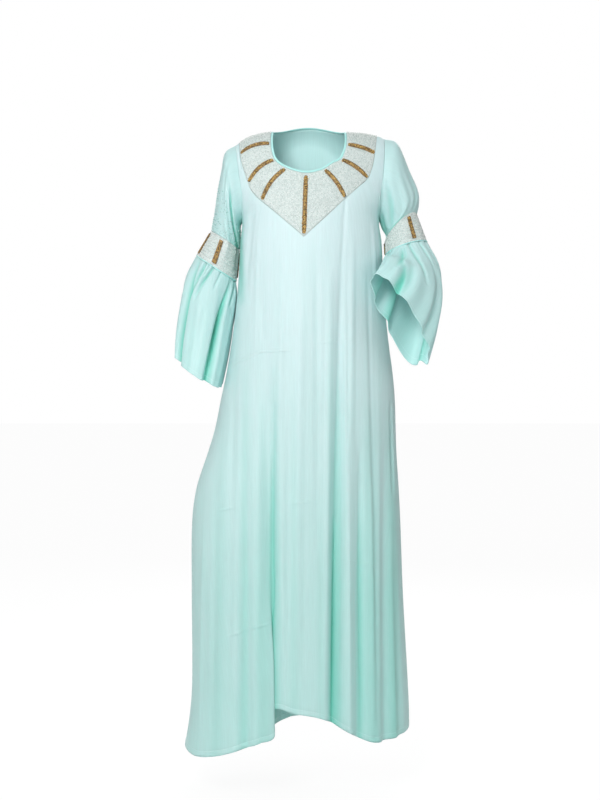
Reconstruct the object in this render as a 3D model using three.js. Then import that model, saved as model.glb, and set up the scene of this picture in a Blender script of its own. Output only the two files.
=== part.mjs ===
// A long, loose A-line kaftan in thin cloth, worn: an inset beaded yoke with raised bars,
// three-quarter sleeves with a beaded elbow band, and gathered bell flounces.
// Millimetres, +Z up. The front faces -Y. The origin is midway between the shoulder seams,
// where the shoulders of the wearer carry the garment.
import * as THREE from "three";

// Driving dimensions
const clothWall = 1.6; // thin cloth with its turned edges
const beadedWall = 2.2; // cloth backed with beadwork
const seamGap = 0.3;
const crownRadius = 62; // how far below the shoulder seam the cloth turns upright
const crownRun = 96; // the same turn, measured along the cloth
const sectionPower = 2.2; // 2 is an ellipse; more is squarer
const yokeSteps = 4; // rows from neck to yoke edge
const raySteps = 3; // columns between two rows of the yoke table
const armholeSteps = 7; // rows from shoulder seam to underarm
const skirtSteps = 11; // rows from underarm to hem
const shoulderSteps = 8; // columns along one shoulder seam of the back panel
const napeSteps = 18; // columns along the back neck edge
const guideLength = 360; // cloth over which a panel's columns swing from its top edge to its folds
const leastZone = 24; // least drop from a panel's top to the underarm level
const bindingWidth = 5;
const bindingWall = 2.8;
const bindingLift = 0.4; // how far the binding stands above the cloth
const bindingGap = 0.5; // between the binding and the neck edge
const barHeight = 2.4;
const barClear = 0.45; // between a bar's underside and the cloth that it is sewn to
const yokeBar = { width: 10, steps: 6, start: 0.05, end: 0.95, places: [-0.5, -0.3, 0, 0.3, 0.5] };
const bandBar = { width: 9, steps: 4, start: 0.1, end: 0.88, places: [-0.5, -0.25, 0, 0.25, 0.5] };
const sleeveSides = 28;
const flounceSides = 56;
const sleeveRows = 8;
const bandRows = 3;
const flounceRows = 8;
const flounceRidge = 4; // how far the fullness between two gathers stands out

// A short table: the first line names the columns, each further line is a row.
const table = (names, ...lines) =>
  lines.map((line) => Object.fromEntries(names.split(" ").map((name, i) => [name, line[i]])));

const clamp = (value, low = 0, high = 1) => Math.min(high, Math.max(low, value));
const ease = (t) => clamp(t) ** 2 * (3 - 2 * clamp(t));
const mix = (a, b, t) => a + (b - a) * t;
const hump = (away) => (Math.abs(away) < 1 ? Math.cos((away * Math.PI) / 2) ** 2 : 0);
const vec = (x, y, z) => new THREE.Vector3(x, y, z);

// The body of the garment at heights below the shoulders: how far the cloth reaches to the
// wearer's right (left), to the wearer's left (right), to the front and to the back, and
// the share of the half width at which the armhole cuts the panels off.
const body = table(
  "down left right front back share",
  [-60, 215, 220, 66, 88, 0.82],
  [25, 215, 220, 78, 94, 0.82],
  [110, 196, 205, 105, 104, 0.85],
  [165, 177, 186, 119, 109, 0.9],
  [205, 160, 169, 128, 112, 1],
  [260, 162, 175, 133, 114, 1],
  [370, 164, 180, 134, 112, 1],
  [480, 173, 189, 138, 118, 1],
  [580, 189, 202, 143, 126, 1],
  [640, 211, 207, 146, 131, 1],
  [710, 227, 209, 150, 136, 1],
  [770, 245, 211, 155, 142, 1],
  [850, 271, 216, 162, 151, 1],
  [930, 282, 220, 169, 160, 1],
  [1100, 283, 226, 182, 174, 1],
  [1320, 282, 238, 198, 190, 1],
  [1400, 288, 241, 204, 196, 1],
  [1480, 301, 239, 209, 202, 1],
);
const underarm = 205;

// The shoulder line, seen from the front.
const shoulder = table(
  "x z",
  [-230, -66],
  [-178, -27],
  [-150, -8],
  [-118, 2],
  [-90, 6],
  [0, 6],
  [90, 5],
  [140, 1],
  [178, -9],
  [230, -48],
);
const napeRise = 46; // how much higher the back of the neck stands than the shoulder seams
const neckHalf = 90;
const napeDepth = 54; // cloth above the back neck edge that the neck opening removes

// The yoke: each row joins a place on the neck edge to one on the outer edge.
// On the rows that carry a bar, bow is how far its middle swings upwards.
const yokeRays = table(
  "name neckX neckZ edgeX edgeZ bow",
  ["seam_right", -90, null, -169, null, 0],
  ["bar_1", -91, -36, -165, -58, 5],
  ["shoulder_right", -88, -58, -156, -96, 0],
  ["bar_2", -81, -77, -145, -130, 8],
  ["corner_right", -68, -90, -136, -150, 0],
  ["bar_3", -54, -98, -112, -176, 8],
  ["slope_right", -30, -107, -62, -221, 0],
  ["bar_4", -8, -111, -13, -264, 0],
  ["slope_left", 14, -108, 36, -219, 0],
  ["bar_5", 34, -101, 84, -172, 5],
  ["corner_left", 54, -87, 113, -145, 0],
  ["bar_6", 74, -76, 138, -120, 4],
  ["shoulder_left", 83, -58, 149, -92, 0],
  ["bar_7", 88, -38, 156, -57, 2],
  ["seam_left", 90, null, 166, null, 0],
);

// Skirt folds: the valley runs from x at its start to hemX at the hem, along one column of the
// panel's grid. Lean slides the cloth on the wearer's right of the valley over the valley, and
// starts at leanFrom.
const frontFolds = table(
  "name column x hemX from wide deep lean leanFrom",
  ["right_hip", 7, -150, -146, 560, 26, 12, 0, 0],
  ["right_lap", 17, -100, -85, 330, 34, 17, 15, 1040],
  ["left_long", 26, 75, 61, 215, 30, 24, 0, 0],
  ["left_broad", 31, 114, 118, 560, 27, 16, 0, 0],
  ["left_side", 36, 176, 180, 600, 20, 16, 0, 0],
  ["left_hem", 40, 196, 214, 900, 12, 8, 0, 0],
);
const backFolds = table(
  "name column x hemX from wide deep lean leanFrom",
  ["right_side", 6, -140, -196, 420, 36, 20, 0, 0],
  ["right_long", 13, -70, -104, 300, 36, 26, 0, 0],
  ["middle", 18, -6, -22, 480, 28, 17, 0, 0],
  ["left_long", 23, 62, 60, 280, 36, 25, 0, 0],
  ["left_side", 30, 128, 152, 520, 32, 18, 0, 0],
);
const hemLevel = -1440; // about the middle of the hem's heights
const foldTop = { wide: 0.75, deep: 0.6, grows: 1.6 }; // a fold where it starts, as a share of its full size
const lapLength = 220; // cloth over which a lap grows from leanFrom to its full size

// Hem heights across the front and the back, with the step hidden in the lapped fold.
const frontHem = table(
  "x z",
  [-300, -1466],
  [-262, -1469],
  [-215, -1457],
  [-160, -1436],
  [-112, -1416],
  [-93, -1402],
  [-79, -1347],
  [-30, -1350],
  [30, -1362],
  [80, -1390],
  [140, -1421],
  [185, -1426],
  [240, -1420],
);
const backHem = table(
  "x z",
  [-300, -1466],
  [-200, -1476],
  [-90, -1474],
  [-25, -1452],
  [60, -1434],
  [150, -1426],
  [240, -1420],
);

// Sleeve rings: centre, half vector to the outer side, half vector to the front.
const ringNames = "x y z ox oy oz fx fy fz";
const arms = [
  {
    hand: "right",
    side: -1,
    sleeve: table(
      ringNames,
      [-181, 2, -126, -20, 0, 84, -4, -66, 0],
      [-188, 4, -151, -23, 0, 66, -4, -63, 0],
      [-194, 7, -190, -28, 0, 49, -3, -60, 0],
      [-199, 9, -230, -32, 0, 31, 0, -58, 0],
      [-203, 10, -254, -34, 0, 22, 0, -56, -2],
    ),
    band: table(ringNames, [-225, 10, -322, -48, 0, 31, 0, -60, -5]),
    flounce: table(
      ringNames,
      [-234, 10, -366, -61, 0, 26, 0, -69, -8],
      [-247, 10, -440, -65, 0, 25, 0, -82, -12],
      [-258, 8, -512, -64, 0, 30, 0, -92, -15],
      [-266, 6, -569, -58, 0, 38, 0, -99, -18],
    ),
    bars: [0.06, 0.235, 0.52, 0.77],
    folds: table(
      "at wide deep from",
      [0.02, 0.05, -9, 0.15],
      [0.12, 0.04, -14, 0],
      [0.21, 0.05, -9, 0.35],
      [0.3, 0.045, -16, 0.05],
      [0.39, 0.035, -8, 0],
      [0.5, 0.05, -8, 0.3],
      [0.6, 0.04, -9, 0.1],
      [0.69, 0.05, -14, 0.05],
      [0.79, 0.045, -12, 0.25],
      [0.9, 0.05, -15, 0.05],
    ),
  },
  {
    hand: "left",
    side: 1,
    sleeve: table(
      ringNames,
      [189, 2, -112, 20, 0, 94, 4, -66, 0],
      [207, 4, -149, 35, 0, 63, 3, -63, 0],
      [221, 6, -183, 44, 0, 42, 2, -58, 4],
      [226, 6, -206, 40, 0, 35, 0, -54, 12],
      [222, 5, -227, 38, 0, 31, 0, -50, 20],
    ),
    band: table(ringNames, [235, -5, -277, 50, 3, 15, 0, -50, 8]),
    flounce: table(
      ringNames,
      [244, -26, -308, 65, 12, -9, 4, -56, 3],
      [244, -68, -352, 70, 28, -44, 9, -62, 12],
      [232, -98, -402, 70, 36, -70, 9, -62, 20],
      [210, -119, -456, 70, 42, -92, 8, -62, 42],
    ),
    bars: [0.195, 0.52, 0.72, 0.93],
    folds: table(
      "at wide deep from",
      [0.03, 0.045, -12, 0.2],
      [0.12, 0.04, -12, 0],
      [0.2, 0.04, -9, 0.3],
      [0.29, 0.045, -15, 0.05],
      [0.38, 0.04, -12, 0.15],
      [0.48, 0.04, -7, 0],
      [0.57, 0.05, -11, 0.3],
      [0.68, 0.045, -14, 0.05],
      [0.82, 0.09, 24, 0.25],
      [0.93, 0.04, -12, 0.05],
    ),
  },
];

// A smooth line through a table: the value of one column where the key column is at.
function lookup(rows, key, at, column) {
  const last = rows.length - 1;
  const place = clamp(at, rows[0][key], rows[last][key]);
  let i = 0;
  while (i < last - 1 && rows[i + 1][key] < place) i += 1;
  const slope = (k) => {
    const before = rows[Math.max(k - 1, 0)];
    const after = rows[Math.min(k + 1, last)];
    return (after[column] - before[column]) / (after[key] - before[key]);
  };
  const span = rows[i + 1][key] - rows[i][key];
  const t = (place - rows[i][key]) / span;
  const a = rows[i][column];
  const b = rows[i + 1][column];
  const bend = (1 - t) * slope(i) * span - t * slope(i + 1) * span;
  return mix(a, b, t) + t * (1 - t) * (bend + (2 * t - 1) * (b - a));
}

const bodyAt = (z, column) => lookup(body, "down", -z, column);
const middleAt = (z) => (bodyAt(z, "right") - bodyAt(z, "left")) / 2;
const halfAt = (z) => (bodyAt(z, "right") + bodyAt(z, "left")) / 2;
const shareAt = (z) => (-z >= underarm ? 1 : Math.min(1, bodyAt(z, "share")));

// The crown line: the shoulder seam, raised behind the neck on the back panel.
function crown(side, x) {
  const nape = side > 0 ? napeRise * clamp(1 - (x / neckHalf) ** 2) ** 1.5 : 0;
  return lookup(shoulder, "x", x, "z") + nape;
}

// Height after running a distance down the cloth from the crown line, and the way back.
function heightAt(side, x, run) {
  if (run >= crownRun) return crown(side, x) - crownRadius - (run - crownRun);
  return crown(side, x) - crownRadius * (1 - Math.cos((run / crownRun) * (Math.PI / 2)));
}
function runTo(side, x, z) {
  const drop = crown(side, x) - z;
  if (drop >= crownRadius) return crownRun + drop - crownRadius;
  return (Math.acos(clamp(1 - drop / crownRadius, -1, 1)) / (Math.PI / 2)) * crownRun;
}

// How far round the front or back a place at x lies, from -1 to 1 at the panel's edges.
const acrossOf = (x, z) =>
  Math.asin(clamp((x - middleAt(z)) / halfAt(z), -1, 1)) / Math.asin(shareAt(z));
const xAt = (across, z) => middleAt(z) + halfAt(z) * Math.sin(across * Math.asin(shareAt(z)));

// How far down its length a fold is at a height, and the x of its valley there.
const foldReach = (fold, z) => clamp((-z - fold.from) / (-hemLevel - fold.from));
const foldLine = (fold, z) => mix(fold.x, fold.hemX, foldReach(fold, z));

// How far the folds move the cloth at (x, z): inwards, and sideways where one laps over.
function foldShift(side, x, z) {
  const shift = { inwards: 0, sideways: 0 };
  for (const fold of side < 0 ? frontFolds : backFolds) {
    const reach = foldReach(fold, z);
    const away = (x - foldLine(fold, z)) / (fold.wide * mix(foldTop.wide, 1, reach));
    const grown = ease(reach * foldTop.grows) * mix(foldTop.deep, 1, reach);
    shift.inwards += fold.deep * grown * hump(away);
    // a lap slides the cloth over the valley: its upper layer out, the cloth beside it in
    const lap = fold.lean * ease((-z - fold.leanFrom) / lapLength) * Math.exp(-((away * 1.4) ** 2));
    shift.sideways -= lap * Math.sin(clamp(away * 1.5, -1, 1) * Math.PI);
    shift.inwards += 0.6 * lap * Math.sin((clamp(away * 2.2, -1, 1) * Math.PI) / 2);
  }
  return shift;
}

// A point of the body cloth. Side is -1 on the front and 1 on the back.
function bodyPoint(side, x, run) {
  const z = heightAt(side, x, run);
  const half = halfAt(z);
  const u = clamp((x - middleAt(z)) / half, -1, 1);
  const deep = bodyAt(z, side < 0 ? "front" : "back");
  const turn = Math.sin((Math.min(run / crownRun, 1) * Math.PI) / 2);
  const y = side * deep * (1 - Math.abs(u) ** sectionPower) ** (1 / sectionPower) * turn;
  const out = vec(u / half, y / deep ** 2, 0).normalize();
  const { inwards, sideways } = foldShift(side, x, z);
  return vec(x + sideways, y, z).addScaledVector(out, -inwards);
}

// The same point with the outward direction that neighbouring pieces share at a seam.
// On a seam in the plane between front and back, that direction has no part along Y.
function bodyCell(side, x, run, inSeamPlane = false) {
  const step = 1.5;
  const acrossCloth = bodyPoint(side, x + step, run).sub(bodyPoint(side, x - step, run));
  const downCloth = bodyPoint(side, x, run + step).sub(bodyPoint(side, x, Math.max(run - step, 0)));
  const normal = acrossCloth.cross(downCloth).multiplyScalar(side);
  if (inSeamPlane) normal.y = 0;
  return { point: bodyPoint(side, x, run), normal: normal.normalize() };
}

const liftCell = ({ point, normal }, by) => ({ point: point.clone().addScaledVector(normal, by), normal });

// A closed wall on a grid of cells, each an outer point with its outward direction. A round
// grid closes on itself sideways. Turned is true where the grid's columns run left to right on
// a surface that faces +Y. Raise lifts outer points over a plain inside.
function wall(name, material, grid, thick, { round = false, turned = false, raise = () => 0 } = {}) {
  const columns = grid.length;
  const rows = grid[0].length;
  const positions = [];
  grid.forEach((column, i) => column.forEach((cell) => positions.push(...liftCell(cell, raise(i)).point)));
  grid.forEach((column) => column.forEach((cell) => positions.push(...liftCell(cell, -thick).point)));
  const index = [];
  const id = (i, j, layer) => layer * columns * rows + (i % columns) * rows + j;
  const quad = (...corners) => {
    const [a, b, c, d] = turned ? corners.reverse() : corners;
    index.push(a, b, c, a, c, d);
  };
  for (let i = 0; i < (round ? columns : columns - 1); i += 1) {
    for (let j = 0; j < rows - 1; j += 1) {
      quad(id(i, j, 0), id(i, j + 1, 0), id(i + 1, j + 1, 0), id(i + 1, j, 0));
      quad(id(i, j, 1), id(i + 1, j, 1), id(i + 1, j + 1, 1), id(i, j + 1, 1));
    }
    quad(id(i, 0, 0), id(i + 1, 0, 0), id(i + 1, 0, 1), id(i, 0, 1));
    quad(id(i, rows - 1, 0), id(i, rows - 1, 1), id(i + 1, rows - 1, 1), id(i + 1, rows - 1, 0));
  }
  for (let j = 0; j < rows - 1 && !round; j += 1) {
    quad(id(0, j, 0), id(0, j, 1), id(0, j + 1, 1), id(0, j + 1, 0));
    quad(id(columns - 1, j, 0), id(columns - 1, j + 1, 0), id(columns - 1, j + 1, 1), id(columns - 1, j, 1));
  }
  const geometry = new THREE.BufferGeometry();
  geometry.setAttribute("position", new THREE.Float32BufferAttribute(positions, 3));
  geometry.setIndex(index);
  geometry.computeVertexNormals();
  const mesh = new THREE.Mesh(geometry, material);
  mesh.name = name;
  kaftan.add(mesh);
}

const paint = (color, roughness, metalness = 0) =>
  new THREE.MeshStandardMaterial({ color, roughness, metalness });
const mint = paint(0xb9e6e0, 0.55);
const mintBinding = paint(0xa9e0d9, 0.5);
const pearl = paint(0xdce6e2, 0.4);
const bronzeBead = paint(0x9b7646, 0.35, 0.55);

const kaftan = new THREE.Group();
kaftan.name = "kaftan";
const halfGap = seamGap / 2;
const steps = (count, make) => Array.from({ length: count + 1 }, (_, i) => make(i));

// A place on the yoke, as x and the run down from the shoulder seam: ray counts rows of the
// yoke table, t goes from the neck to the outer edge. The V is straight into its point.
function yokePlace(ray, t) {
  const i = Math.min(Math.floor(ray), yokeRays.length - 2);
  const places = (xName, zName) =>
    yokeRays.map((row) => {
      const onSeam = row[zName] === null;
      return vec(row[xName], onSeam ? halfGap : runTo(-1, row[xName], row[zName]), 0);
    });
  const smooth = (list) => {
    const before = list[Math.max(i - 1, 0)];
    const after = list[Math.min(i + 2, list.length - 1)];
    return new THREE.CatmullRomCurve3([before, list[i], list[i + 1], after]).getPoint((1 + ray - i) / 3);
  };
  const edge = places("edgeX", "edgeZ");
  const tip = yokeRays.findIndex((row) => row.name === "bar_4");
  const outer = i === tip - 1 || i === tip ? edge[i].clone().lerp(edge[i + 1], ray - i) : smooth(edge);
  return smooth(places("neckX", "neckZ")).lerp(outer, t);
}
const yokeColumns = (yokeRays.length - 1) * raySteps;
const yokeEdge = steps(yokeColumns, (i) => yokePlace(i / raySteps, 1));
const neckFront = steps(yokeColumns, (i) => yokePlace(i / raySteps, 0));

function makeYoke() {
  const grid = steps(yokeColumns, (i) => {
    const reach = neckFront[i].distanceTo(yokeEdge[i]);
    const inSeam = i === 0 || i === yokeColumns;
    return steps(yokeSteps, (j) => {
      const place = yokePlace(i / raySteps, (j / yokeSteps) * (1 - halfGap / reach));
      return bodyCell(-1, place.x, Math.max(place.y, halfGap), inSeam);
    });
  });
  wall("yoke", pearl, grid, beadedWall);
}

// The bars are made from the yoke's own surface, moved out.
function makeYokeBars() {
  yokeRays.forEach((row, ray) => {
    if (!row.name.startsWith("bar")) return;
    const grid = yokeBar.places.map((place) =>
      steps(yokeBar.steps, (j) => {
        const t = mix(yokeBar.start, yokeBar.end, j / yokeBar.steps);
        const here = yokePlace(ray, t);
        const along = yokePlace(ray, t + 0.01).sub(here).normalize();
        const roundedEnd = Math.sqrt(1 - 0.6 * Math.abs((2 * j) / yokeBar.steps - 1) ** 8);
        const swing = row.bow * Math.sin(t * Math.PI) * Math.sign(row.neckX);
        const aside = place * yokeBar.width * roundedEnd + swing;
        const run = Math.max(here.y - along.x * aside, barHeight);
        return liftCell(bodyCell(-1, here.x + along.y * aside, run), barClear + barHeight);
      }),
    );
    const rounded = (i) => (i === 0 || i === grid.length - 1 ? -0.4 * barHeight : 0);
    wall("yoke_" + row.name, bronzeBead, grid, barHeight, { raise: rounded });
  });
}

// Where a column of a panel lies across it at a height: its folds guide it to the hem.
function guided(side, column, lastColumn, z) {
  const folds = (side < 0 ? frontFolds : backFolds).map((fold) => ({
    column: fold.column,
    across: acrossOf(foldLine(fold, z), z),
  }));
  const guides = [{ column: 0, across: -1 }, ...folds, { column: lastColumn, across: 1 }];
  const next = guides.findIndex((guide) => guide.column >= Math.max(column, 1));
  const [a, b] = [guides[next - 1], guides[next]];
  return mix(a.across, b.across, (column - a.column) / (b.column - a.column));
}

// One column of a panel: from its top through the armhole zone, then down to the hem.
function panelColumn(side, top, column, lastColumn) {
  const isEdge = column === 0 || column === lastColumn;
  const topZ = heightAt(side, top.x, top.run);
  const topAcross = isEdge ? Math.sign(top.x) : acrossOf(top.x, topZ);
  const placeAt = (z) => {
    const across = mix(topAcross, guided(side, column, lastColumn, z), ease((topZ - z) / guideLength));
    return xAt(isEdge ? topAcross : across, z);
  };
  const hemZ = lookup(side < 0 ? frontHem : backHem, "x", placeAt(hemLevel), "z");
  const zoneZ = Math.min(-underarm, topZ - leastZone);
  const zoneRun = runTo(side, placeAt(zoneZ), zoneZ);
  return steps(armholeSteps + skirtSteps, (row) => {
    if (row === 0) return bodyCell(side, top.x, top.run, top.run <= halfGap);
    if (row <= armholeSteps) {
      const run = mix(top.run, zoneRun, row / armholeSteps);
      let x = top.x;
      for (let pass = 0; pass < 4; pass += 1) x = placeAt(heightAt(side, x, run));
      return bodyCell(side, x, run, isEdge && row === armholeSteps);
    }
    const z = mix(zoneZ, hemZ, (row - armholeSteps) / skirtSteps);
    const x = placeAt(z);
    return bodyCell(side, x, runTo(side, x, z), isEdge);
  }).map((cell, row) => {
    // the side seam's own gap lies half on each panel
    if (isEdge && row >= armholeSteps) cell.point.y += side * halfGap;
    return cell;
  });
}

// The x of the corner where a shoulder seam meets the armhole.
function cornerX(sign) {
  let x = sign * neckHalf;
  for (let pass = 0; pass < 8; pass += 1) x = xAt(sign, crown(-1, x) - 0.01);
  return x;
}

function makePanel(name, side, tops) {
  const grid = tops.map((top, column) => panelColumn(side, top, column, tops.length - 1));
  wall(name, mint, grid, clothWall, { turned: side > 0 });
  return [grid[0], grid.at(-1)];
}

function makeFront() {
  const tops = yokeEdge.map((place, i) => {
    const onSeam = i === 0 || i === yokeColumns;
    if (onSeam) return { x: place.x + Math.sign(place.x) * seamGap, run: halfGap };
    return { x: place.x, run: place.y + halfGap };
  });
  const corners = [-1, 1].map((sign) => ({ x: cornerX(sign), run: halfGap }));
  return makePanel("front_panel", -1, [corners[0], ...tops, corners[1]]);
}

function napeRun(x) {
  return Math.max(napeDepth * clamp(1 - (x / neckHalf) ** 2) ** 0.8, halfGap);
}

function makeBack() {
  const outer = yokeRays.map((row) => row.edgeX);
  const fromRight = steps(shoulderSteps, (i) => mix(outer[0], -neckHalf, i / shoulderSteps));
  const nape = steps(napeSteps, (i) => mix(-neckHalf, neckHalf, i / napeSteps)).slice(1, -1);
  const toLeft = steps(shoulderSteps, (i) => mix(neckHalf, outer.at(-1), i / shoulderSteps));
  const places = [cornerX(-1), ...fromRight, ...nape, ...toLeft, cornerX(1)];
  return makePanel("back_panel", 1, places.map((x) => ({ x, run: napeRun(x) })));
}

// The binding follows the neck edge all round and stands a little inside it.
function makeBinding() {
  const front = neckFront.map((place) => bodyCell(-1, place.x, Math.max(place.y, halfGap)));
  const napeX = steps(napeSteps, (i) => mix(neckHalf, -neckHalf, i / napeSteps));
  const back = napeX.map((x) => bodyCell(1, x, napeRun(x)));
  const ring = [...front, ...back.slice(1, -1)];
  const centre = ring.reduce((sum, cell) => sum.addScaledVector(cell.point, 1 / ring.length), vec(0, 0, 0));
  const sections = ring.map(({ point, normal }, i) => {
    const ahead = ring[(i + 1) % ring.length].point;
    const behind = ring[(i + ring.length - 1) % ring.length].point;
    const along = ahead.clone().sub(behind).normalize();
    const inwards = along.clone().cross(normal).normalize();
    if (inwards.dot(centre.clone().sub(point)) < 0) inwards.negate();
    const up = inwards.clone().cross(along).normalize();
    if (up.dot(normal) < 0) up.negate();
    return [bindingWidth, bindingGap].map((aside) => ({
      point: point.clone().addScaledVector(inwards, aside).addScaledVector(up, bindingLift),
      normal: up,
    }));
  });
  wall("neck_binding", mintBinding, sections, bindingWall, { round: true });
}

// Points round a sleeve ring: turn 0 is the outer side of the arm, a quarter is the front.
const ringPoint = (ring, turn) =>
  vec(ring.x, ring.y, ring.z)
    .addScaledVector(vec(ring.ox, ring.oy, ring.oz), Math.cos(turn * 2 * Math.PI))
    .addScaledVector(vec(ring.fx, ring.fy, ring.fz), Math.sin(turn * 2 * Math.PI));

// Outward directions on a tube grid, from its own neighbours.
function tubeCells(points, side) {
  const sides = points.length;
  return points.map((column, i) =>
    column.map((point, j) => {
      const around = points[(i + 1) % sides][j].clone().sub(points[(i + sides - 1) % sides][j]);
      const along = column[Math.min(j + 1, column.length - 1)].clone().sub(column[Math.max(j - 1, 0)]);
      return { point, normal: around.cross(along).multiplyScalar(side).normalize() };
    }),
  );
}

// The armhole edge as a ring that starts at the shoulder and runs down the front.
function armholeRing(frontEdge, backEdge, side) {
  const loop = [...frontEdge.slice(0, armholeSteps + 1), ...backEdge.slice(0, armholeSteps + 1).reverse()];
  loop.splice(armholeSteps, 1);
  loop.pop();
  return steps(sleeveSides - 1, (i) => {
    const place = (i / sleeveSides) * loop.length;
    const a = loop[Math.floor(place) % loop.length];
    const b = loop[(Math.floor(place) + 1) % loop.length];
    const part = place - Math.floor(place);
    const point = a.point.clone().lerp(b.point, part);
    point.x += side * 2 * seamGap;
    return { point, normal: a.normal.clone().lerp(b.normal, part).normalize() };
  });
}

// Points through a list of rings, with a half gap at each end.
function throughRings(rings, count, startGap, endGap) {
  const curve = new THREE.CatmullRomCurve3(rings, false, "centripetal");
  const points = steps(count, (j) => curve.getPoint(j / count));
  const shorten = (end, next, by) => end.lerp(next, by / end.distanceTo(next));
  if (startGap) shorten(points[0], points[1], startGap);
  if (endGap) shorten(points[count], points[count - 1], endGap);
  return points;
}

// Two tubes that meet at a seam face the same way there, so that their walls meet end to end.
// The lower tube may have a whole number of times as many sides.
function shareSeam(upper, lower) {
  const times = lower.length / upper.length;
  const shared = upper.map((column, i) =>
    column.at(-1).normal.clone().add(lower[i * times][0].normal).normalize(),
  );
  upper.forEach((column, i) => column.at(-1).normal.copy(shared[i]));
  lower.forEach((column, i) => {
    const place = Math.floor(i / times);
    const next = shared[(place + 1) % shared.length];
    column[0].normal.copy(shared[place]).lerp(next, i / times - place).normalize();
  });
}

function sleeveCells(arm, armhole) {
  const cells = tubeCells(
    armhole.map((cell, i) => {
      const rings = arm.sleeve.map((ring) => ringPoint(ring, i / sleeveSides));
      return throughRings([cell.point, ...rings], sleeveRows, 0, halfGap);
    }),
    arm.side,
  );
  // where the sleeve carries on from the body, its edge faces as the body's edge does
  cells.forEach((column, i) => {
    const { normal } = armhole[i];
    column[0].normal.lerp(normal, ease((column[0].normal.dot(normal) + 0.1) / 0.7)).normalize();
  });
  return cells;
}

const bandPoint = (arm, turn, t) => ringPoint(arm.sleeve.at(-1), turn).lerp(ringPoint(arm.band[0], turn), t);

function bandCells(arm) {
  const rows = steps(sleeveSides - 1, (i) => {
    const line = [0, 0.5, 1].map((t) => bandPoint(arm, i / sleeveSides, t));
    return throughRings(line, bandRows, halfGap, halfGap);
  });
  return tubeCells(rows, arm.side);
}

// How far the flounce's folds move it outwards: valleys, or one broad ridge, and the fullness
// between them, which is less beside the body.
function gather(folds, turn, t) {
  const ridge = flounceRidge * ease(t * 3) * Math.cos(turn * Math.PI) ** 2;
  return folds.reduce((sum, fold) => {
    const away = (((turn - fold.at + 1.5) % 1) - 0.5) / fold.wide;
    const grown = ease((t - fold.from) / (1 - fold.from) / 0.7);
    return sum + (fold.deep - ridge) * grown * hump(away);
  }, ridge);
}

function flounceCells(arm) {
  const rings = [arm.band[0], ...arm.flounce];
  const middle = throughRings(rings.map((ring) => vec(ring.x, ring.y, ring.z)), flounceRows, 0, 0);
  const rows = steps(flounceSides - 1, (i) => {
    const turn = i / flounceSides;
    const line = throughRings(rings.map((ring) => ringPoint(ring, turn)), flounceRows, halfGap, 0);
    return line.map((point, j) => {
      const out = point.clone().sub(middle[j]).normalize();
      return point.clone().addScaledVector(out, gather(arm.folds, turn, j / flounceRows));
    });
  });
  return tubeCells(rows, arm.side);
}

function makeBandBars(arm) {
  const around = Math.PI * bandPoint(arm, 0, 0).distanceTo(bandPoint(arm, 0.5, 0));
  const centre = bandPoint(arm, 0, 0.5).lerp(bandPoint(arm, 0.5, 0.5), 0.5);
  arm.bars.forEach((turn, number) => {
    const last = { i: bandBar.places.length - 1, j: bandBar.steps };
    const grid = bandBar.places.map((place) =>
      steps(last.j, (j) => {
        const t = mix(bandBar.start, bandBar.end, j / last.j);
        return bandPoint(arm, turn + (place * bandBar.width) / around, t);
      }),
    );
    const cells = grid.map((column, i) =>
      column.map((point, j) => {
        const aside = grid[Math.min(i + 1, last.i)][j].clone().sub(grid[Math.max(i - 1, 0)][j]);
        const down = column[Math.min(j + 1, last.j)].clone().sub(column[Math.max(j - 1, 0)]);
        const normal = aside.cross(down).normalize();
        if (normal.dot(point.clone().sub(centre)) < 0) normal.negate();
        return liftCell({ point, normal }, barClear + barHeight);
      }),
    );
    wall(`band_${arm.hand}_bar_${number + 1}`, bronzeBead, cells, barHeight, { turned: arm.side > 0 });
  });
}

function makeSleeve(arm, armhole) {
  const turned = arm.side > 0;
  const sleeve = sleeveCells(arm, armhole);
  const band = bandCells(arm);
  const flounce = flounceCells(arm);
  shareSeam(sleeve, band);
  shareSeam(band, flounce);
  wall("sleeve_" + arm.hand, mint, sleeve, clothWall, { round: true, turned });
  wall("band_" + arm.hand, pearl, band, beadedWall, { round: true, turned });
  wall("flounce_" + arm.hand, mint, flounce, clothWall, { round: true, turned });
  makeBandBars(arm);
}

makeYoke();
makeYokeBars();
const frontEdges = makeFront();
const backEdges = makeBack();
makeBinding();
arms.forEach((arm, i) => makeSleeve(arm, armholeRing(frontEdges[i], backEdges[i], arm.side)));

export default kaftan;
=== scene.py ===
# A long beaded kaftan, worn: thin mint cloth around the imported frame.
# Sizes are in millimetres and are made metres where a mesh is filled.
import math

import bmesh
import bpy
import numpy as np
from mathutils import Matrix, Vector


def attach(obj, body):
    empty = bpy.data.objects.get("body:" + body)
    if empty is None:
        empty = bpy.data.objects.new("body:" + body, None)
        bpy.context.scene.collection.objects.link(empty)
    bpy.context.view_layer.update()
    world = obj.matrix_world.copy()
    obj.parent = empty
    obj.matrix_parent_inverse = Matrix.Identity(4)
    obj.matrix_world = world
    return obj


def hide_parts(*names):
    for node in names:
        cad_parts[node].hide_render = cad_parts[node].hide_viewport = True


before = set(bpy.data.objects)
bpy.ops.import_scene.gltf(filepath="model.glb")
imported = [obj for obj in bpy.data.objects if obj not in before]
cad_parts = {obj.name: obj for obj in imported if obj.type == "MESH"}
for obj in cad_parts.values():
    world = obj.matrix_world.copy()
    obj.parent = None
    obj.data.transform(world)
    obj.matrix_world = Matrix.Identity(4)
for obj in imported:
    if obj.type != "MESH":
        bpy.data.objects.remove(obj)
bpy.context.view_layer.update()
mm = 0.001


# Columns by name, from short rows.
def table(names, *rows):
    return {name: np.array([row[i] for row in rows], float) for i, name in enumerate(names.split())}


# The same table, with one dictionary for each row.
def rowsOf(columns):
    count = len(next(iter(columns.values())))
    return [{name: values[i] for name, values in columns.items()} for i in range(count)]


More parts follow.
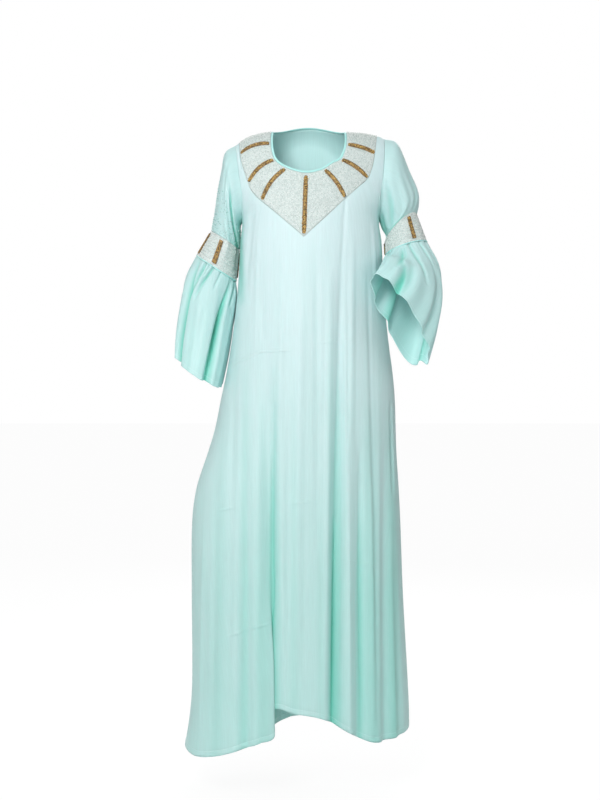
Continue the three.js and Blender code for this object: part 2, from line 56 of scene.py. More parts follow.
def ease(t):
    t = np.clip(t, 0, 1)
    return t * t * (3 - 2 * t)


def mix(a, b, t):
    return a + (b - a) * t


def hump(away):
    return np.where(np.abs(away) < 1, np.cos(np.clip(away, -1, 1) * math.pi / 2) ** 2, 0)


def unit(vectors):
    return vectors / np.maximum(np.linalg.norm(vectors, axis=-1, keepdims=True), 1e-9)


# A smooth line through one column of a table, where the key column is at.
def lookup(rows, key, at, column):
    keys, values = rows[key], rows[column]
    slopes = np.gradient(values, keys)
    slopes[1:-1] = (values[2:] - values[:-2]) / (keys[2:] - keys[:-2])
    place = np.clip(at, keys[0], keys[-1])
    i = np.clip(np.searchsorted(keys, place) - 1, 0, len(keys) - 2)
    span = keys[i + 1] - keys[i]
    t = (place - keys[i]) / span
    a, b = values[i], values[i + 1]
    bend = (1 - t) * slopes[i] * span - t * slopes[i + 1] * span
    return mix(a, b, t) + t * (1 - t) * (bend + (2 * t - 1) * (b - a))


# The cloth body, down from the shoulders: how far it reaches to each side, to the front and to the
# back, and the share of the half width at which the armholes cut it off
body = table(
    "down left right front back share",
    [-60, 215, 220, 66, 88, 0.82],
    [25, 215, 220, 78, 94, 0.82],
    [110, 196, 205, 105, 104, 0.85],
    [165, 177, 186, 119, 109, 0.9],
    [205, 162, 169, 128, 112, 1],
    [260, 166, 175, 133, 114, 1],
    [370, 172, 180, 134, 112, 1],
    [480, 184, 189, 138, 118, 1],
    [580, 200, 202, 143, 126, 1],
    [640, 213, 207, 146, 131, 1],
    [710, 227, 209, 150, 136, 1],
    [770, 245, 211, 155, 142, 1],
    [850, 271, 216, 162, 151, 1],
    [930, 282, 220, 169, 160, 1],
    [1100, 283, 226, 182, 174, 1],
    [1320, 282, 238, 198, 190, 1],
    [1400, 288, 241, 204, 196, 1],
    [1480, 301, 239, 209, 202, 1],
)
# the shoulder line, from the right arm to the left
shoulder = table(
    "x z",
    [-230, -66],
    [-178, -27],
    [-150, -8],
    [-118, 2],
    [-90, 6],
    [0, 6],
    [90, 5],
    [140, 1],
    [178, -9],
    [230, -48],
)
# the yoke: each row joins a place on the neck edge to one on the outer edge; a z of 99 is the seam
yokeRays = table(
    "neckX neckZ edgeX edgeZ bar bow",
    [-90, 99, -169, 99, 0, 0],
    [-91, -36, -165, -58, 1, 5],
    [-88, -58, -156, -96, 0, 0],
    [-81, -77, -145, -130, 2, 8],
    [-68, -90, -136, -150, 0, 0],
    [-54, -98, -112, -176, 3, 8],
    [-30, -107, -62, -221, 0, 0],
    [-8, -111, -13, -264, 4, 0],
    [14, -108, 36, -219, 0, 0],
    [34, -101, 84, -172, 5, 5],
    [54, -87, 113, -145, 0, 0],
    [74, -76, 138, -120, 6, 4],
    [83, -58, 149, -92, 0, 0],
    [88, -38, 156, -57, 7, 2],
    [90, 99, 166, 99, 0, 0],
)
lastRay = len(yokeRays["neckX"]) - 1
# the largest folds of the front, -1, and the back, 1: the panel's column that follows each, its
# place at the start and at the hem, how far down it starts, and how far one laps over
folds = {
    -1: table(
        "column x hemX from wide deep lean leanFrom",
        [7, -150, -146, 560, 26, 12, 0, 0],
        [17, -100, -85, 330, 34, 17, 15, 1040],
        [26, 75, 61, 215, 30, 24, 0, 0],
        [31, 114, 118, 560, 27, 16, 0, 0],
        [36, 176, 180, 600, 22, 12, 0, 0],
        [40, 196, 214, 900, 12, 4, 0, 0],
    ),
    1: table(
        "column x hemX from wide deep lean leanFrom",
        [6, -140, -196, 420, 36, 20, 0, 0],
        [13, -70, -104, 300, 36, 26, 0, 0],
        [18, -6, -22, 480, 28, 17, 0, 0],
        [23, 62, 60, 280, 36, 25, 0, 0],
        [30, 128, 152, 520, 32, 18, 0, 0],
    ),
}
# how low the hem hangs
hems = {
    -1: table(
        "x z",
        [-300, -1466],
        [-262, -1469],
        [-215, -1457],
        [-160, -1436],
        [-112, -1416],
        [-93, -1402],
        [-79, -1347],
        [-30, -1350],
        [30, -1362],
        [80, -1390],
        [140, -1421],
        [185, -1426],
        [240, -1420],
    ),
    1: table(
        "x z",
        [-300, -1466],
        [-200, -1476],
        [-90, -1474],
        [-25, -1452],
        [60, -1434],
        [150, -1426],
        [240, -1420],
    ),
}
cut = {
    "underarm": 205,
    "hemLevel": -1440,
    "neckHalf": 90,
    "napeRise": 46,
    "napeDepth": 54,
    "crownRadius": 62,
    "crownRun": 96,
    "section": 2.2,
    "armholeRows": 7,
    "skirtRows": 11,
    "guide": 360,
    "gap": 0.15,
    "lap": 220,
    "leastZone": 24,  # least drop from a panel's top edge to the underarm
    "shoulderSteps": 9,
    "napeSteps": 19,
}
# creases pressed or pulled into the cloth: a line from one place to another, its half width
# and how far it sinks; a negative depth stands out
creases = {
    -1: table(
        "x z toX toZ wide deep",
        [86, -150, 75, -330, 7, 3.2],
        [75, -300, 61, -900, 10, 4],
        [61, -900, 54, -1400, 9, 8],
        [-82, -1030, -80, -1480, 3, 9],
        [84, -420, 80, -1380, 8, -4],
        [-84, -640, -88, -1180, 9, 6],
        [-108, -375, -110, -500, 9, 2.2],
        [193, -650, 198, -860, 6, 11],
        [150, -480, 158, -1400, 13, 3],
        [118, -760, 126, -1420, 9, 5],
        [-158, -960, -160, -1450, 5, 4.5],
        [-176, -560, -190, -1440, 13, 4],
        [-132, -180, -150, -380, 10, 3],
        [-120, -250, -128, -520, 8, -2],
        [-62, -300, -70, -760, 12, -2.4],
        [-20, -420, -30, -1320, 16, -3],
        [16, -300, 18, -1000, 12, 2],
        [48, -340, 34, -1340, 12, -3],
        [100, -240, 96, -760, 12, -3],
        [136, -330, 150, -900, 9, 2.6],
        [150, -210, 158, -420, 8, -2.5],
        [-48, -640, -52, -1340, 10, 2.6],
        [88, -700, 90, -1390, 8, -3],
        [142, -800, 148, -1410, 9, -3],
        [-214, -760, -226, -1450, 12, 3],
        [-248, -900, -258, -1460, 9, -3],
    ),
    1: table(
        "x z toX toZ wide deep",
        [-96, -120, -104, -420, 10, 2.6],
        [92, -110, 98, -400, 10, 2.6],
        [-30, -60, -34, -360, 12, -2],
        [30, -140, 34, -520, 10, 2.2],
        [-70, -560, -66, -1440, 6, 6],
        [60, -460, 58, -1420, 6, 6],
        [-6, -700, -20, -1440, 6, 4],
        [-168, -700, -226, -1450, 11, -3],
        [-110, -760, -140, -1450, 10, -3],
        [26, -640, 22, -1420, 12, -3],
        [100, -700, 112, -1410, 11, -3],
        [-150, -540, 150, -548, 3, -1.2],
        [-200, -1150, 60, -1166, 3, -1.1],
    ),
}


def middleAt(z):
    return (lookup(body, "down", -z, "right") - lookup(body, "down", -z, "left")) / 2


def halfAt(z):
    return (lookup(body, "down", -z, "right") + lookup(body, "down", -z, "left")) / 2


def shareAt(z):
    return np.where(-z >= cut["underarm"], 1, np.minimum(1, lookup(body, "down", -z, "share")))


def crown(side, x):
    nape = cut["napeRise"] * np.clip(1 - (x / cut["neckHalf"]) ** 2, 0, 1) ** 1.5 if side > 0 else 0
    return lookup(shoulder, "x", x, "z") + nape


def heightAt(side, x, run):
    radius, turn = cut["crownRadius"], cut["crownRun"]
    curved = radius * (1 - np.cos(np.clip(run / turn, 0, 1) * math.pi / 2))
    return crown(side, x) - np.where(run >= turn, radius + run - turn, curved)


def runTo(side, x, z):
    radius, turn = cut["crownRadius"], cut["crownRun"]
    drop = crown(side, x) - z
    curved = np.arccos(np.clip(1 - drop / radius, -1, 1)) / (math.pi / 2) * turn
    return np.where(drop >= radius, turn + drop - radius, curved)


def acrossOf(x, z):
    return np.arcsin(np.clip((x - middleAt(z)) / halfAt(z), -1, 1)) / np.arcsin(shareAt(z))


def xAt(across, z):
    return middleAt(z) + halfAt(z) * np.sin(across * np.arcsin(shareAt(z)))


def foldReach(fold, z):
    return np.clip((-z - fold["from"]) / (-cut["hemLevel"] - fold["from"]), 0, 1)


def foldLine(fold, z):
    return mix(fold["x"], fold["hemX"], foldReach(fold, z))


# How far the folds move the cloth inwards, and sideways where one laps over.
def foldShift(side, x, z):
    inwards, sideways = np.zeros_like(x), np.zeros_like(x)
    for fold in rowsOf(folds[side]):
        reach = foldReach(fold, z)
        away = (x - foldLine(fold, z)) / (fold["wide"] * mix(0.75, 1, reach))
        inwards += fold["deep"] * ease(reach * 1.6) * mix(0.6, 1, reach) * hump(away)
        lap = fold["lean"] * ease((-z - fold["leanFrom"]) / cut["lap"]) * np.exp(-((away * 1.4) ** 2))
        sideways -= lap * np.sin(np.clip(away * 1.5, -1, 1) * math.pi)
        inwards += 0.6 * lap * np.sin(np.clip(away * 2.2, -1, 1) * math.pi / 2)
    return inwards, sideways


def creaseDepth(side, x, z):
    depth = np.zeros_like(x)
    for crease in rowsOf(creases[side]):
        start = np.array([crease["x"], crease["z"]])
        line = np.array([crease["toX"], crease["toZ"]]) - start
        long = np.linalg.norm(line)
        along = ((x - start[0]) * line[0] + (z - start[1]) * line[1]) / long ** 2
        aside = ((x - start[0]) * line[1] - (z - start[1]) * line[0]) / long
        ends = np.sqrt(np.clip(np.sin(np.clip(along, 0, 1) * math.pi), 0, 1))
        depth += crease["deep"] * ends * hump(aside / crease["wide"])
    return depth


# A point of the body cloth. Side is -1 on the front and 1 on the back.
def bodyPoint(side, x, run, fine=False):
    z = heightAt(side, x, run)
    half = halfAt(z)
    u = np.clip((x - middleAt(z)) / half, -1, 1)
    deep = lookup(body, "down", -z, "front" if side < 0 else "back")
    turn = np.sin(np.clip(run / cut["crownRun"], 0, 1) * math.pi / 2)
    y = side * deep * (1 - np.abs(u) ** cut["section"]) ** (1 / cut["section"]) * turn
    out = unit(np.stack([u / half, y / deep ** 2, np.zeros_like(u)], -1))
    inwards, sideways = foldShift(side, x, z)
    if fine:
        calm = ease(run / 60) * ease((1 - np.abs(u)) * 9)
        inwards = inwards + creaseDepth(side, x, z) * calm + wander(x, z) * calm
    return np.stack([x + sideways, y, z], -1) - out * inwards[..., None]


# Slow, shallow unevenness, longer down the cloth than across it.
def wander(x, z):
    waves = 0.5 * np.sin(x / 23 + 1.3 * np.sin(z / 210)) + 0.4 * np.sin(x / 11.5 + z / 260 + 2)
    return waves * (0.4 + 0.6 * ease(-z / 900)) + 0.25 * np.sin(x / 31 - z / 47) * np.sin(z / 83)


def bodyNormal(side, x, run):
    step = 1.5
    across = bodyPoint(side, x + step, run) - bodyPoint(side, x - step, run)
    down = bodyPoint(side, x, run + step) - bodyPoint(side, x, np.maximum(run - step, 0))
    return unit(np.cross(across, down) * side)


# x and run of a place on the yoke: ray counts rows of its table, t goes to the outer edge.
def yokePlace(ray, t):
    ray, t = np.broadcast_arrays(np.asarray(ray, float), np.asarray(t, float))
    i = np.clip(np.floor(ray).astype(int), 0, lastRay - 1)

    def curve(xName, zName, straight):
        xs, zs = yokeRays[xName], yokeRays[zName]
        runs = np.where(zs > 50, cut["gap"], runTo(-1, xs, np.where(zs > 50, 0, zs)))
        places = np.stack([xs, runs], -1)
        before, after = np.maximum(i - 1, 0), np.minimum(i + 2, lastRay)
        p0, p1, p2, p3 = places[before], places[i], places[i + 1], places[after]
        # the ends of the list repeat a place, as the solid's own curve does
        p0 = np.where((before == i)[..., None], 2 * p1 - p2, p0)
        p3 = np.where((after == i + 1)[..., None], 2 * p2 - p1, p3)
        smooth = centripetal(p0, p1, p2, p3, (ray - i)[..., None])
        if not straight:
            return smooth
        # the two edges that meet at the point, under the middle bar
        tip = int(np.argmax(yokeRays["edgeZ"] == yokeRays["edgeZ"].min()))
        pointed = (i == tip - 1) | (i == tip)
        return np.where(pointed[..., None], mix(p1, p2, (ray - i)[..., None]), smooth)

    place = mix(curve("neckX", "neckZ", False), curve("edgeX", "edgeZ", True), t[..., None])
    return place[..., 0], place[..., 1]


# A smooth curve from p1 to p2 that knows its neighbours.
def centripetal(p0, p1, p2, p3, t):
    def apart(a, b):
        return np.maximum(np.linalg.norm(b - a, axis=-1, keepdims=True), 1e-4) ** 0.5

    d0, d1, d2 = apart(p0, p1), apart(p1, p2), apart(p2, p3)
    first = ((p1 - p0) / d0 - (p2 - p0) / (d0 + d1) + (p2 - p1) / d1) * d1
    second = ((p2 - p1) / d1 - (p3 - p1) / (d1 + d2) + (p3 - p2) / d2) * d1
    square = -3 * p1 + 3 * p2 - 2 * first - second
    cube = 2 * p1 - 2 * p2 + first + second
    return p1 + first * t + square * t ** 2 + cube * t ** 3


def cornerX(sign):
    x = sign * float(cut["neckHalf"])
    for _ in range(8):
        x = float(xAt(sign, crown(-1, np.array(x)) - 0.01))
    return x


def napeRun(x):
    dip = cut["napeDepth"] * np.clip(1 - (x / cut["neckHalf"]) ** 2, 0, 1) ** 0.8
    return np.maximum(dip, cut["gap"])


# x and run of a panel's top edge at its columns.
def panelTops(side, column):
    corners = [cornerX(-1), cornerX(1)]
    if side < 0:
        lastColumn = 3 * lastRay + 2
        ray = np.clip((column - 1) / 3, 0, lastRay)
        x, run = yokePlace(ray, 1.0)
        onSeam = (column <= 1) | (column >= lastColumn - 1)
        run = np.where(onSeam, cut["gap"], run + cut["gap"])
    else:
        right, left = yokeRays["edgeX"][[0, -1]]
        neck, steps = cut["neckHalf"], cut["shoulderSteps"]
        nape = np.linspace(-neck, neck, cut["napeSteps"])[1:-1]
        places = [corners[0], *np.linspace(right, -neck, steps), *nape, *np.linspace(neck, left, steps)]
        lastColumn = len(places)
        x = np.interp(column, np.arange(len(places) + 1), [*places, corners[1]])
        run = napeRun(x)
    x = np.where(column < 1, mix(corners[0], x, np.clip(column, 0, 1)), x)
    x = np.where(column > lastColumn - 1, mix(x, corners[1], np.clip(column - lastColumn + 1, 0, 1)), x)
    return x, run, lastColumn


# Where a column lies across its panel: the folds guide it to the hem.
def guided(side, column, lastColumn, z):
    guides = [(0, -1.0 + 0 * z)]
    guides += [(fold["column"], acrossOf(foldLine(fold, z), z)) for fold in rowsOf(folds[side])]
    guides += [(lastColumn, 1.0 + 0 * z)]
    across = np.zeros_like(z)
    for (a, acrossA), (b, acrossB) in zip(guides, guides[1:]):
        inside = (column >= a) & (column <= b)
        across = np.where(inside, mix(acrossA, acrossB, (column - a) / (b - a)), across)
    return across


# A grid of points of the front or back panel, at its columns and rows.
def panelPoints(side, columns, rows, fine=True):
    topX, topRun, lastColumn = panelTops(side, columns)
    column, row = np.meshgrid(columns, rows, indexing="ij")
    topX, topRun = topX[:, None] + 0 * row, topRun[:, None] + 0 * row
    topZ = heightAt(side, topX, topRun)
    edge = (column == 0) | (column == lastColumn)
    topAcross = np.where(edge, np.sign(topX), acrossOf(topX, topZ))

    def placeAt(z):
        across = mix(topAcross, guided(side, column, lastColumn, z), ease((topZ - z) / cut["guide"]))
        return xAt(np.where(edge, topAcross, across), z)

    hemZ = lookup(hems[side], "x", placeAt(cut["hemLevel"] + 0 * row), "z")
    zoneZ = np.minimum(-cut["underarm"], topZ - cut["leastZone"])
    zoneRun = runTo(side, placeAt(zoneZ), zoneZ)
    run = mix(topRun, zoneRun, np.clip(row / cut["armholeRows"], 0, 1))
    x = topX.copy()
    for _ in range(6):
        x = placeAt(heightAt(side, x, run))
    x = np.where(row == 0, topX, x)
    lowZ = mix(zoneZ, hemZ, np.clip((row - cut["armholeRows"]) / cut["skirtRows"], 0, 1))
    lowX = placeAt(lowZ)
    low = row > cut["armholeRows"]
    x, run = np.where(low, lowX, x), np.where(low, runTo(side, lowX, lowZ), run)
    points = bodyPoint(side, x, run, fine)
    points[..., 1] += np.where(edge & (row >= cut["armholeRows"]), side * cut["gap"], 0)
    inwards, _ = foldShift(side, x, points[..., 2])
    return points, x, points[..., 2], inwards


# The sleeves. Rings round an arm: centre, half vector to the outer side, half vector to the front.
def rings(*rows):
    return np.array(rows, float).reshape(-1, 3, 3)


# Shares run from 0 to 1 round the arm, from its outer side by the front, and down each piece.
arms = {
    "right": {
        "side": -1,
        # inside and tucked say where painted shade goes: along the body, and over the band's top under the
        # sleeve
        "inside": 0.46,  # where the sleeve lies against the body
        "tucked": 0.45,  # where the band is tucked most under the sleeve
        "sleeve": rings(
            [-181, 2, -126, -20, 0, 84, -4, -66, 0],
            [-188, 4, -151, -23, 0, 66, -4, -63, 0],
            [-194, 7, -190, -28, 0, 49, -3, -60, 0],
            [-199, 9, -230, -32, 0, 31, 0, -58, 0],
            [-203, 10, -254, -34, 0, 22, 0, -56, -2],
        ),
        "band": rings([-225, 10, -322, -48, 0, 31, 0, -60, -5]),
        "flounce": rings(
            [-234, 10, -366, -61, 0, 26, 0, -69, -8],
            [-247, 10, -440, -65, 0, 25, 0, -82, -12],
            [-258, 8, -512, -64, 0, 30, 0, -92, -15],
            [-266, 6, -569, -58, 0, 38, 0, -99, -18],
        ),
        "bars": [0.06, 0.235, 0.52, 0.77],
        "sleeveCreases": table(
            "from to start middle end wide deep",
            [0.25, 1.35, 0.25, 0.385, 0.54, 0.035, 11],
            [0.3, 1.3, 0.19, 0.26, 0.36, 0.045, -5],
            [0.1, 0.9, 0.16, 0.2, 0.29, 0.03, 3],
            [0.05, 0.8, 0.1, 0.08, 0.06, 0.05, 3],
            [0.1, 1.2, 0.62, 0.6, 0.55, 0.04, 6],
            [0.1, 0.9, 0.78, 0.8, 0.83, 0.05, 4],
        ),
        "folds": table(
            "at wide deep from",
            [0.02, 0.05, -5, 0.15],
            [0.105, 0.045, -15, 0],
            [0.21, 0.05, -3, 0.35],
            [0.33, 0.038, -14, 0.05],
            [0.42, 0.035, -3, 0],
            [0.5, 0.05, -6, 0.3],
            [0.6, 0.04, -9, 0.1],
            [0.69, 0.05, -14, 0.05],
            [0.79, 0.045, -12, 0.25],
            [0.9, 0.05, -15, 0.05],
        ),
        "creases": table(
            "from to start middle end wide deep",
            [-0.1, 1.7, 0.108, 0.112, 0.09, 0.04, 10],
            [-0.08, 0.42, 0.178, 0.162, 0.125, 0.018, 9],
            [-0.08, 0.4, 0.26, 0.21, 0.17, 0.018, 9],
            [-0.08, 0.26, 0.315, 0.29, 0.27, 0.012, 5],
            [-0.08, 0.22, 0.22, 0.2, 0.19, 0.01, 4],
            [0, 1.7, 0.4, 0.31, 0.345, 0.026, 13],
            [0, 0.36, 0.45, 0.42, 0.385, 0.018, 9],
            [0.3, 1.4, 0.205, 0.21, 0.19, 0.035, -5],
            [0.1, 1.4, 0.45, 0.41, 0.42, 0.03, -5],
            [-0.1, 0.6, 0.58, 0.56, 0.52, 0.02, 7],
            [-0.1, 0.5, 0.67, 0.7, 0.73, 0.018, 6],
            [-0.1, 0.45, 0.84, 0.82, 0.78, 0.02, 7],
            [-0.1, 0.4, 0.95, 0.97, 0.99, 0.018, 6],
        ),
        "gathers": 46,
    },
    "left": {
        "side": 1,
        "inside": 0.5,
        "tucked": 0.34,
        "sleeve": rings(
            [189, 2, -112, 20, 0, 94, 4, -66, 0],
            [207, 4, -149, 35, 0, 63, 3, -63, 0],
            [221, 6, -183, 44, 0, 42, 2, -58, 4],
            [226, 6, -206, 40, 0, 35, 0, -54, 12],
            [222, 5, -227, 38, 0, 31, 0, -50, 20],
        ),
        "band": rings([235, -5, -277, 50, 3, 15, 0, -50, 8]),
        "flounce": rings(
            [244, -26, -308, 65, 12, -9, 4, -56, 3],
            [244, -68, -352, 70, 28, -44, 9, -62, 12],
            [232, -98, -402, 70, 36, -70, 9, -62, 20],
            [210, -119, -456, 70, 42, -92, 8, -62, 42],
        ),
        "bars": [0.195, 0.52, 0.72, 0.93],
        "sleeveCreases": table(
            "from to start middle end wide deep",
            [0.1, 0.9, 0.3, 0.34, 0.4, 0.05, 5],
            [0.25, 0.95, 0.2, 0.22, 0.27, 0.045, -5],
            [0.3, 1.0, 0.1, 0.12, 0.16, 0.04, 3],
            [0.1, 0.8, 0.42, 0.44, 0.47, 0.035, 4],
            [0.1, 1.0, 0.62, 0.6, 0.56, 0.04, 5],
            [0.1, 0.9, 0.78, 0.8, 0.82, 0.05, 4],
        ),
        "folds": table(
            "at wide deep from",
            [0.03, 0.045, -4, 0.2],
            [0.12, 0.04, -6, 0],
            [0.2, 0.05, -3, 0.3],
            [0.29, 0.05, -9, 0.05],
            [0.38, 0.04, -4, 0.15],
            [0.48, 0.04, -4, 0],
            [0.57, 0.05, -11, 0.3],
            [0.68, 0.045, -14, 0.05],
            [0.82, 0.09, 24, 0.25],
            [0.93, 0.04, -12, 0.05],
        ),
        "creases": table(
            "from to start middle end wide deep",
            [-0.1, 0.5, 0.09, 0.08, 0.05, 0.02, 6],
            [-0.1, 0.45, 0.17, 0.15, 0.13, 0.018, 6],
            [-0.1, 0.6, 0.25, 0.24, 0.2, 0.022, 7],
            [0.02, 0.7, 0.3, 0.34, 0.36, 0.03, 9],
            [0.5, 1.35, 0.33, 0.31, 0.27, 0.028, 10],
            [0.02, 0.5, 0.4, 0.42, 0.44, 0.014, 5],
            [0.02, 0.45, 0.34, 0.37, 0.4, 0.012, 4],
            [0.02, 0.4, 0.29, 0.3, 0.33, 0.012, 4],
            [-0.1, 0.42, 0.36, 0.37, 0.4, 0.04, -7],
            [-0.1, 0.5, 0.42, 0.44, 0.45, 0.02, 6],
            [-0.1, 0.4, 0.55, 0.56, 0.54, 0.02, 6],
            [-0.1, 0.5, 0.63, 0.65, 0.64, 0.02, 6],
            [-0.1, 0.5, 0.78, 0.76, 0.77, 0.02, 6],
            [0.3, 1.4, 0.1, 0.09, 0.08, 0.03, -5],
            [0.3, 1.4, 0.88, 0.9, 0.9, 0.03, 8],
        ),
        "gathers": 44,
    },
}


# Points round a ring: turn 0 is the outer side of the arm, a quarter is the front.
def ringPoint(ring, turn):
    around = turn[..., None] * 2 * math.pi
    return ring[0] + np.cos(around) * ring[1] + np.sin(around) * ring[2]


# Points along smooth lines through a list of rings: lines is (rings, turns, 3).
def through(lines, t):
    last = len(lines) - 1
    place = t * last
    i = np.clip(np.floor(place).astype(int), 0, last - 1)
    before = np.concatenate([[2 * lines[0] - lines[1]], lines])
    after = np.concatenate([lines, [2 * lines[-1] - lines[-2]]])
    weight = (place - i)[:, None, None]
    points = centripetal(before[i], lines[i], lines[i + 1], after[i + 2], weight)
    return np.swapaxes(points, 0, 1)


# The armhole edge, from the shoulder down the front, up the back.
def armholePoint(side, turn):
    rows = cut["armholeRows"]
    frontRow, backRow = np.clip(turn * 2 * rows, 0, rows), np.clip((1 - turn) * 2 * rows, 0, rows)
    points = np.zeros(turn.shape + (3,))
    for panel, row, mask in ((-1, frontRow, turn <= 0.5), (1, backRow, turn > 0.5)):
        _, _, lastColumn = panelTops(panel, np.zeros(1))
        column = 0.0 if side < 0 else float(lastColumn)
        grid, *_ = panelPoints(panel, np.array([column]), row, fine=False)
        points[mask] = grid[0][mask]
    points[:, 0] += side * cut["gap"]
    return points


# Points moved away from the middle of the tube that they lie on.
def swell(points, rise):
    middle = points[:-1].mean(0, keepdims=True)
    return points + unit(points - middle) * rise[..., None]


def sleevePoints(arm, turn, t):
    lines = [armholePoint(arm["side"], turn)] + [ringPoint(ring, turn) for ring in arm["sleeve"]]
    points = through(np.stack(lines), t)
    return swell(points, tubeCreases(arm["sleeveCreases"], turn, t) * ease(t * 6)[None])


# The band follows the sleeve's creases where they meet, and loses them down to its own end.
def bandPoints(arm, turn, t):
    a, b = ringPoint(arm["sleeve"][-1], turn), ringPoint(arm["band"][0], turn)
    points = mix(a[:, None], b[:, None], t[None, :, None])
    end = tubeCreases(arm["sleeveCreases"], turn, np.ones(1))
    ringMiddle = mix(arm["sleeve"][-1][0], arm["band"][0][0], t[:, None])[None]
    return points + unit(points - ringMiddle) * (end * ease(1 - t)[None])[..., None]


# How far the flounce's folds and fullness move it outwards.
def flounceRidge(folds, turn, t):
    turn, t = np.meshgrid(turn, t, indexing="ij")
    ridge = 4 * ease(t * 3) * np.cos(turn * math.pi) ** 2
    total = ridge.copy()
    for fold in rowsOf(folds):
        away = ((turn - fold["at"] + 1.5) % 1 - 0.5) / fold["wide"]
        grown = ease((t - fold["from"]) / (1 - fold["from"]) / 0.7)
        total += (fold["deep"] - ridge) * grown * hump(away)
    return total


# Creases that wander round a tube as they run along it, fading at both ends.
def tubeCreases(lines, turn, t):
    turn, t = np.meshgrid(turn, t, indexing="ij")
    total = np.zeros_like(turn)
    for line in rowsOf(lines):
        along = (t - line["from"]) / (line["to"] - line["from"])
        place = np.clip(along, 0, 1)
        at = (1 - place) * (1 - 2 * place) * line["start"]
        at += 4 * place * (1 - place) * line["middle"] + place * (2 * place - 1) * line["end"]
        away = ((turn - at + 1.5) % 1 - 0.5) / line["wide"]
        total -= line["deep"] * np.sin(place * math.pi) ** 0.6 * hump(away)
    return total


# Small uneven gathers under a seam, which die away down the cloth.
def gathers(turn, t, count, deep, length):
    turn, t = np.meshgrid(turn * 2 * math.pi, t, indexing="ij")
    uneven = turn + 0.11 * np.sin(3 * turn + 1) + 0.05 * np.sin(7 * turn)
    waves = np.abs(np.sin(count / 2 * uneven)) ** 0.8 - 0.6 + 0.3 * np.sin(count * 0.37 * uneven + 2)
    return deep * waves * np.exp(-t / length) * (0.75 + 0.25 * np.sin(5 * turn + 0.6))


def flouncePoints(arm, turn, t):
    hoops = [arm["band"][0], *arm["flounce"]]
    middle = through(np.stack([np.broadcast_to(ring[0], (1, 3)) for ring in hoops]), t)
    points = through(np.stack([ringPoint(ring, turn) for ring in hoops]), t)
    ridge = flounceRidge(arm["folds"], turn, t)
    ridge += tubeCreases(arm["creases"], turn, t)
    ridge += gathers(turn, t, arm["gathers"], 2.2, 0.16) * ease(t * 40)
    return points + unit(points - middle) * ridge[..., None], ridge


beside = {"clear": 1, "soft": 3}


# How far points that hang at the body's right would reach into it, and a little beside it.
def reachIn(points):
    x, y, z = np.moveaxis(points, -1, 0)
    deep = np.where(y < 0, lookup(body, "down", -z, "front"), lookup(body, "down", -z, "back"))
    bent = (1 - np.clip(np.abs(y) / deep, 0, 0.98) ** cut["section"]) ** (1 / cut["section"])
    over = x + lookup(body, "down", -z, "left") * bent + beside["clear"]
    return (over + np.hypot(over, beside["soft"])) / 2


# Painted shade where cloth lies deep between its folds or against the arm, as a table of upright lines.
shades = {
    -1: table(
        "x z toX toZ wide deep",
        [142, -640, 150, -1900, 34, 0.36],
        [192, -640, 205, -1900, 26, 0.45],
        [-150, -560, -158, -1900, 14, 0.3],
        [-82, -560, -78, -1900, 18, 0.4],
        [52, -480, 50, -1900, 16, 0.3],
        [118, -700, 122, -1900, 10, 0.2],
        [-172, -130, -160, -420, 16, 0.75],
        [168, -150, 178, -330, 14, 0.5],
        [-106, -600, -112, -1900, 22, 0.25],
        [-200, -620, -222, -1900, 26, 0.16],
        [26, -860, 26, -1900, 16, 0.14],
        [-36, -620, -36, -1900, 14, 0.14],
    ),
    1: table(
        "x z toX toZ wide deep",
        [-172, -130, -160, -420, 16, 0.6],
        [168, -150, 178, -330, 14, 0.5],
        [-120, -600, -160, -1900, 40, 0.3],
        [90, -500, 100, -1900, 40, 0.3],
    ),
}


def shadeAt(lines, x, z):
    total = 0
    for line in rowsOf(lines):
        along = np.clip((z - line["z"]) / (line["toZ"] - line["z"]), 0, 1)
        away = (x - mix(line["x"], line["toX"], along)) / line["wide"]
        total = total + line["deep"] * np.sin(along * math.pi) ** 0.6 * hump(away)
    return total


# Meshes
# Distances across and down the cloth, for patterns that follow it.
def flatPattern(points):
    across = np.linalg.norm(np.diff(points, axis=0), axis=-1)
    down = np.linalg.norm(np.diff(points, axis=1), axis=-1)
    u = np.concatenate([np.zeros((1, points.shape[1])), np.cumsum(across, axis=0)])
    v = np.concatenate([np.zeros((points.shape[0], 1)), np.cumsum(down, axis=1)], axis=1)
    return np.stack([u - u[len(u) // 2], -v], -1)


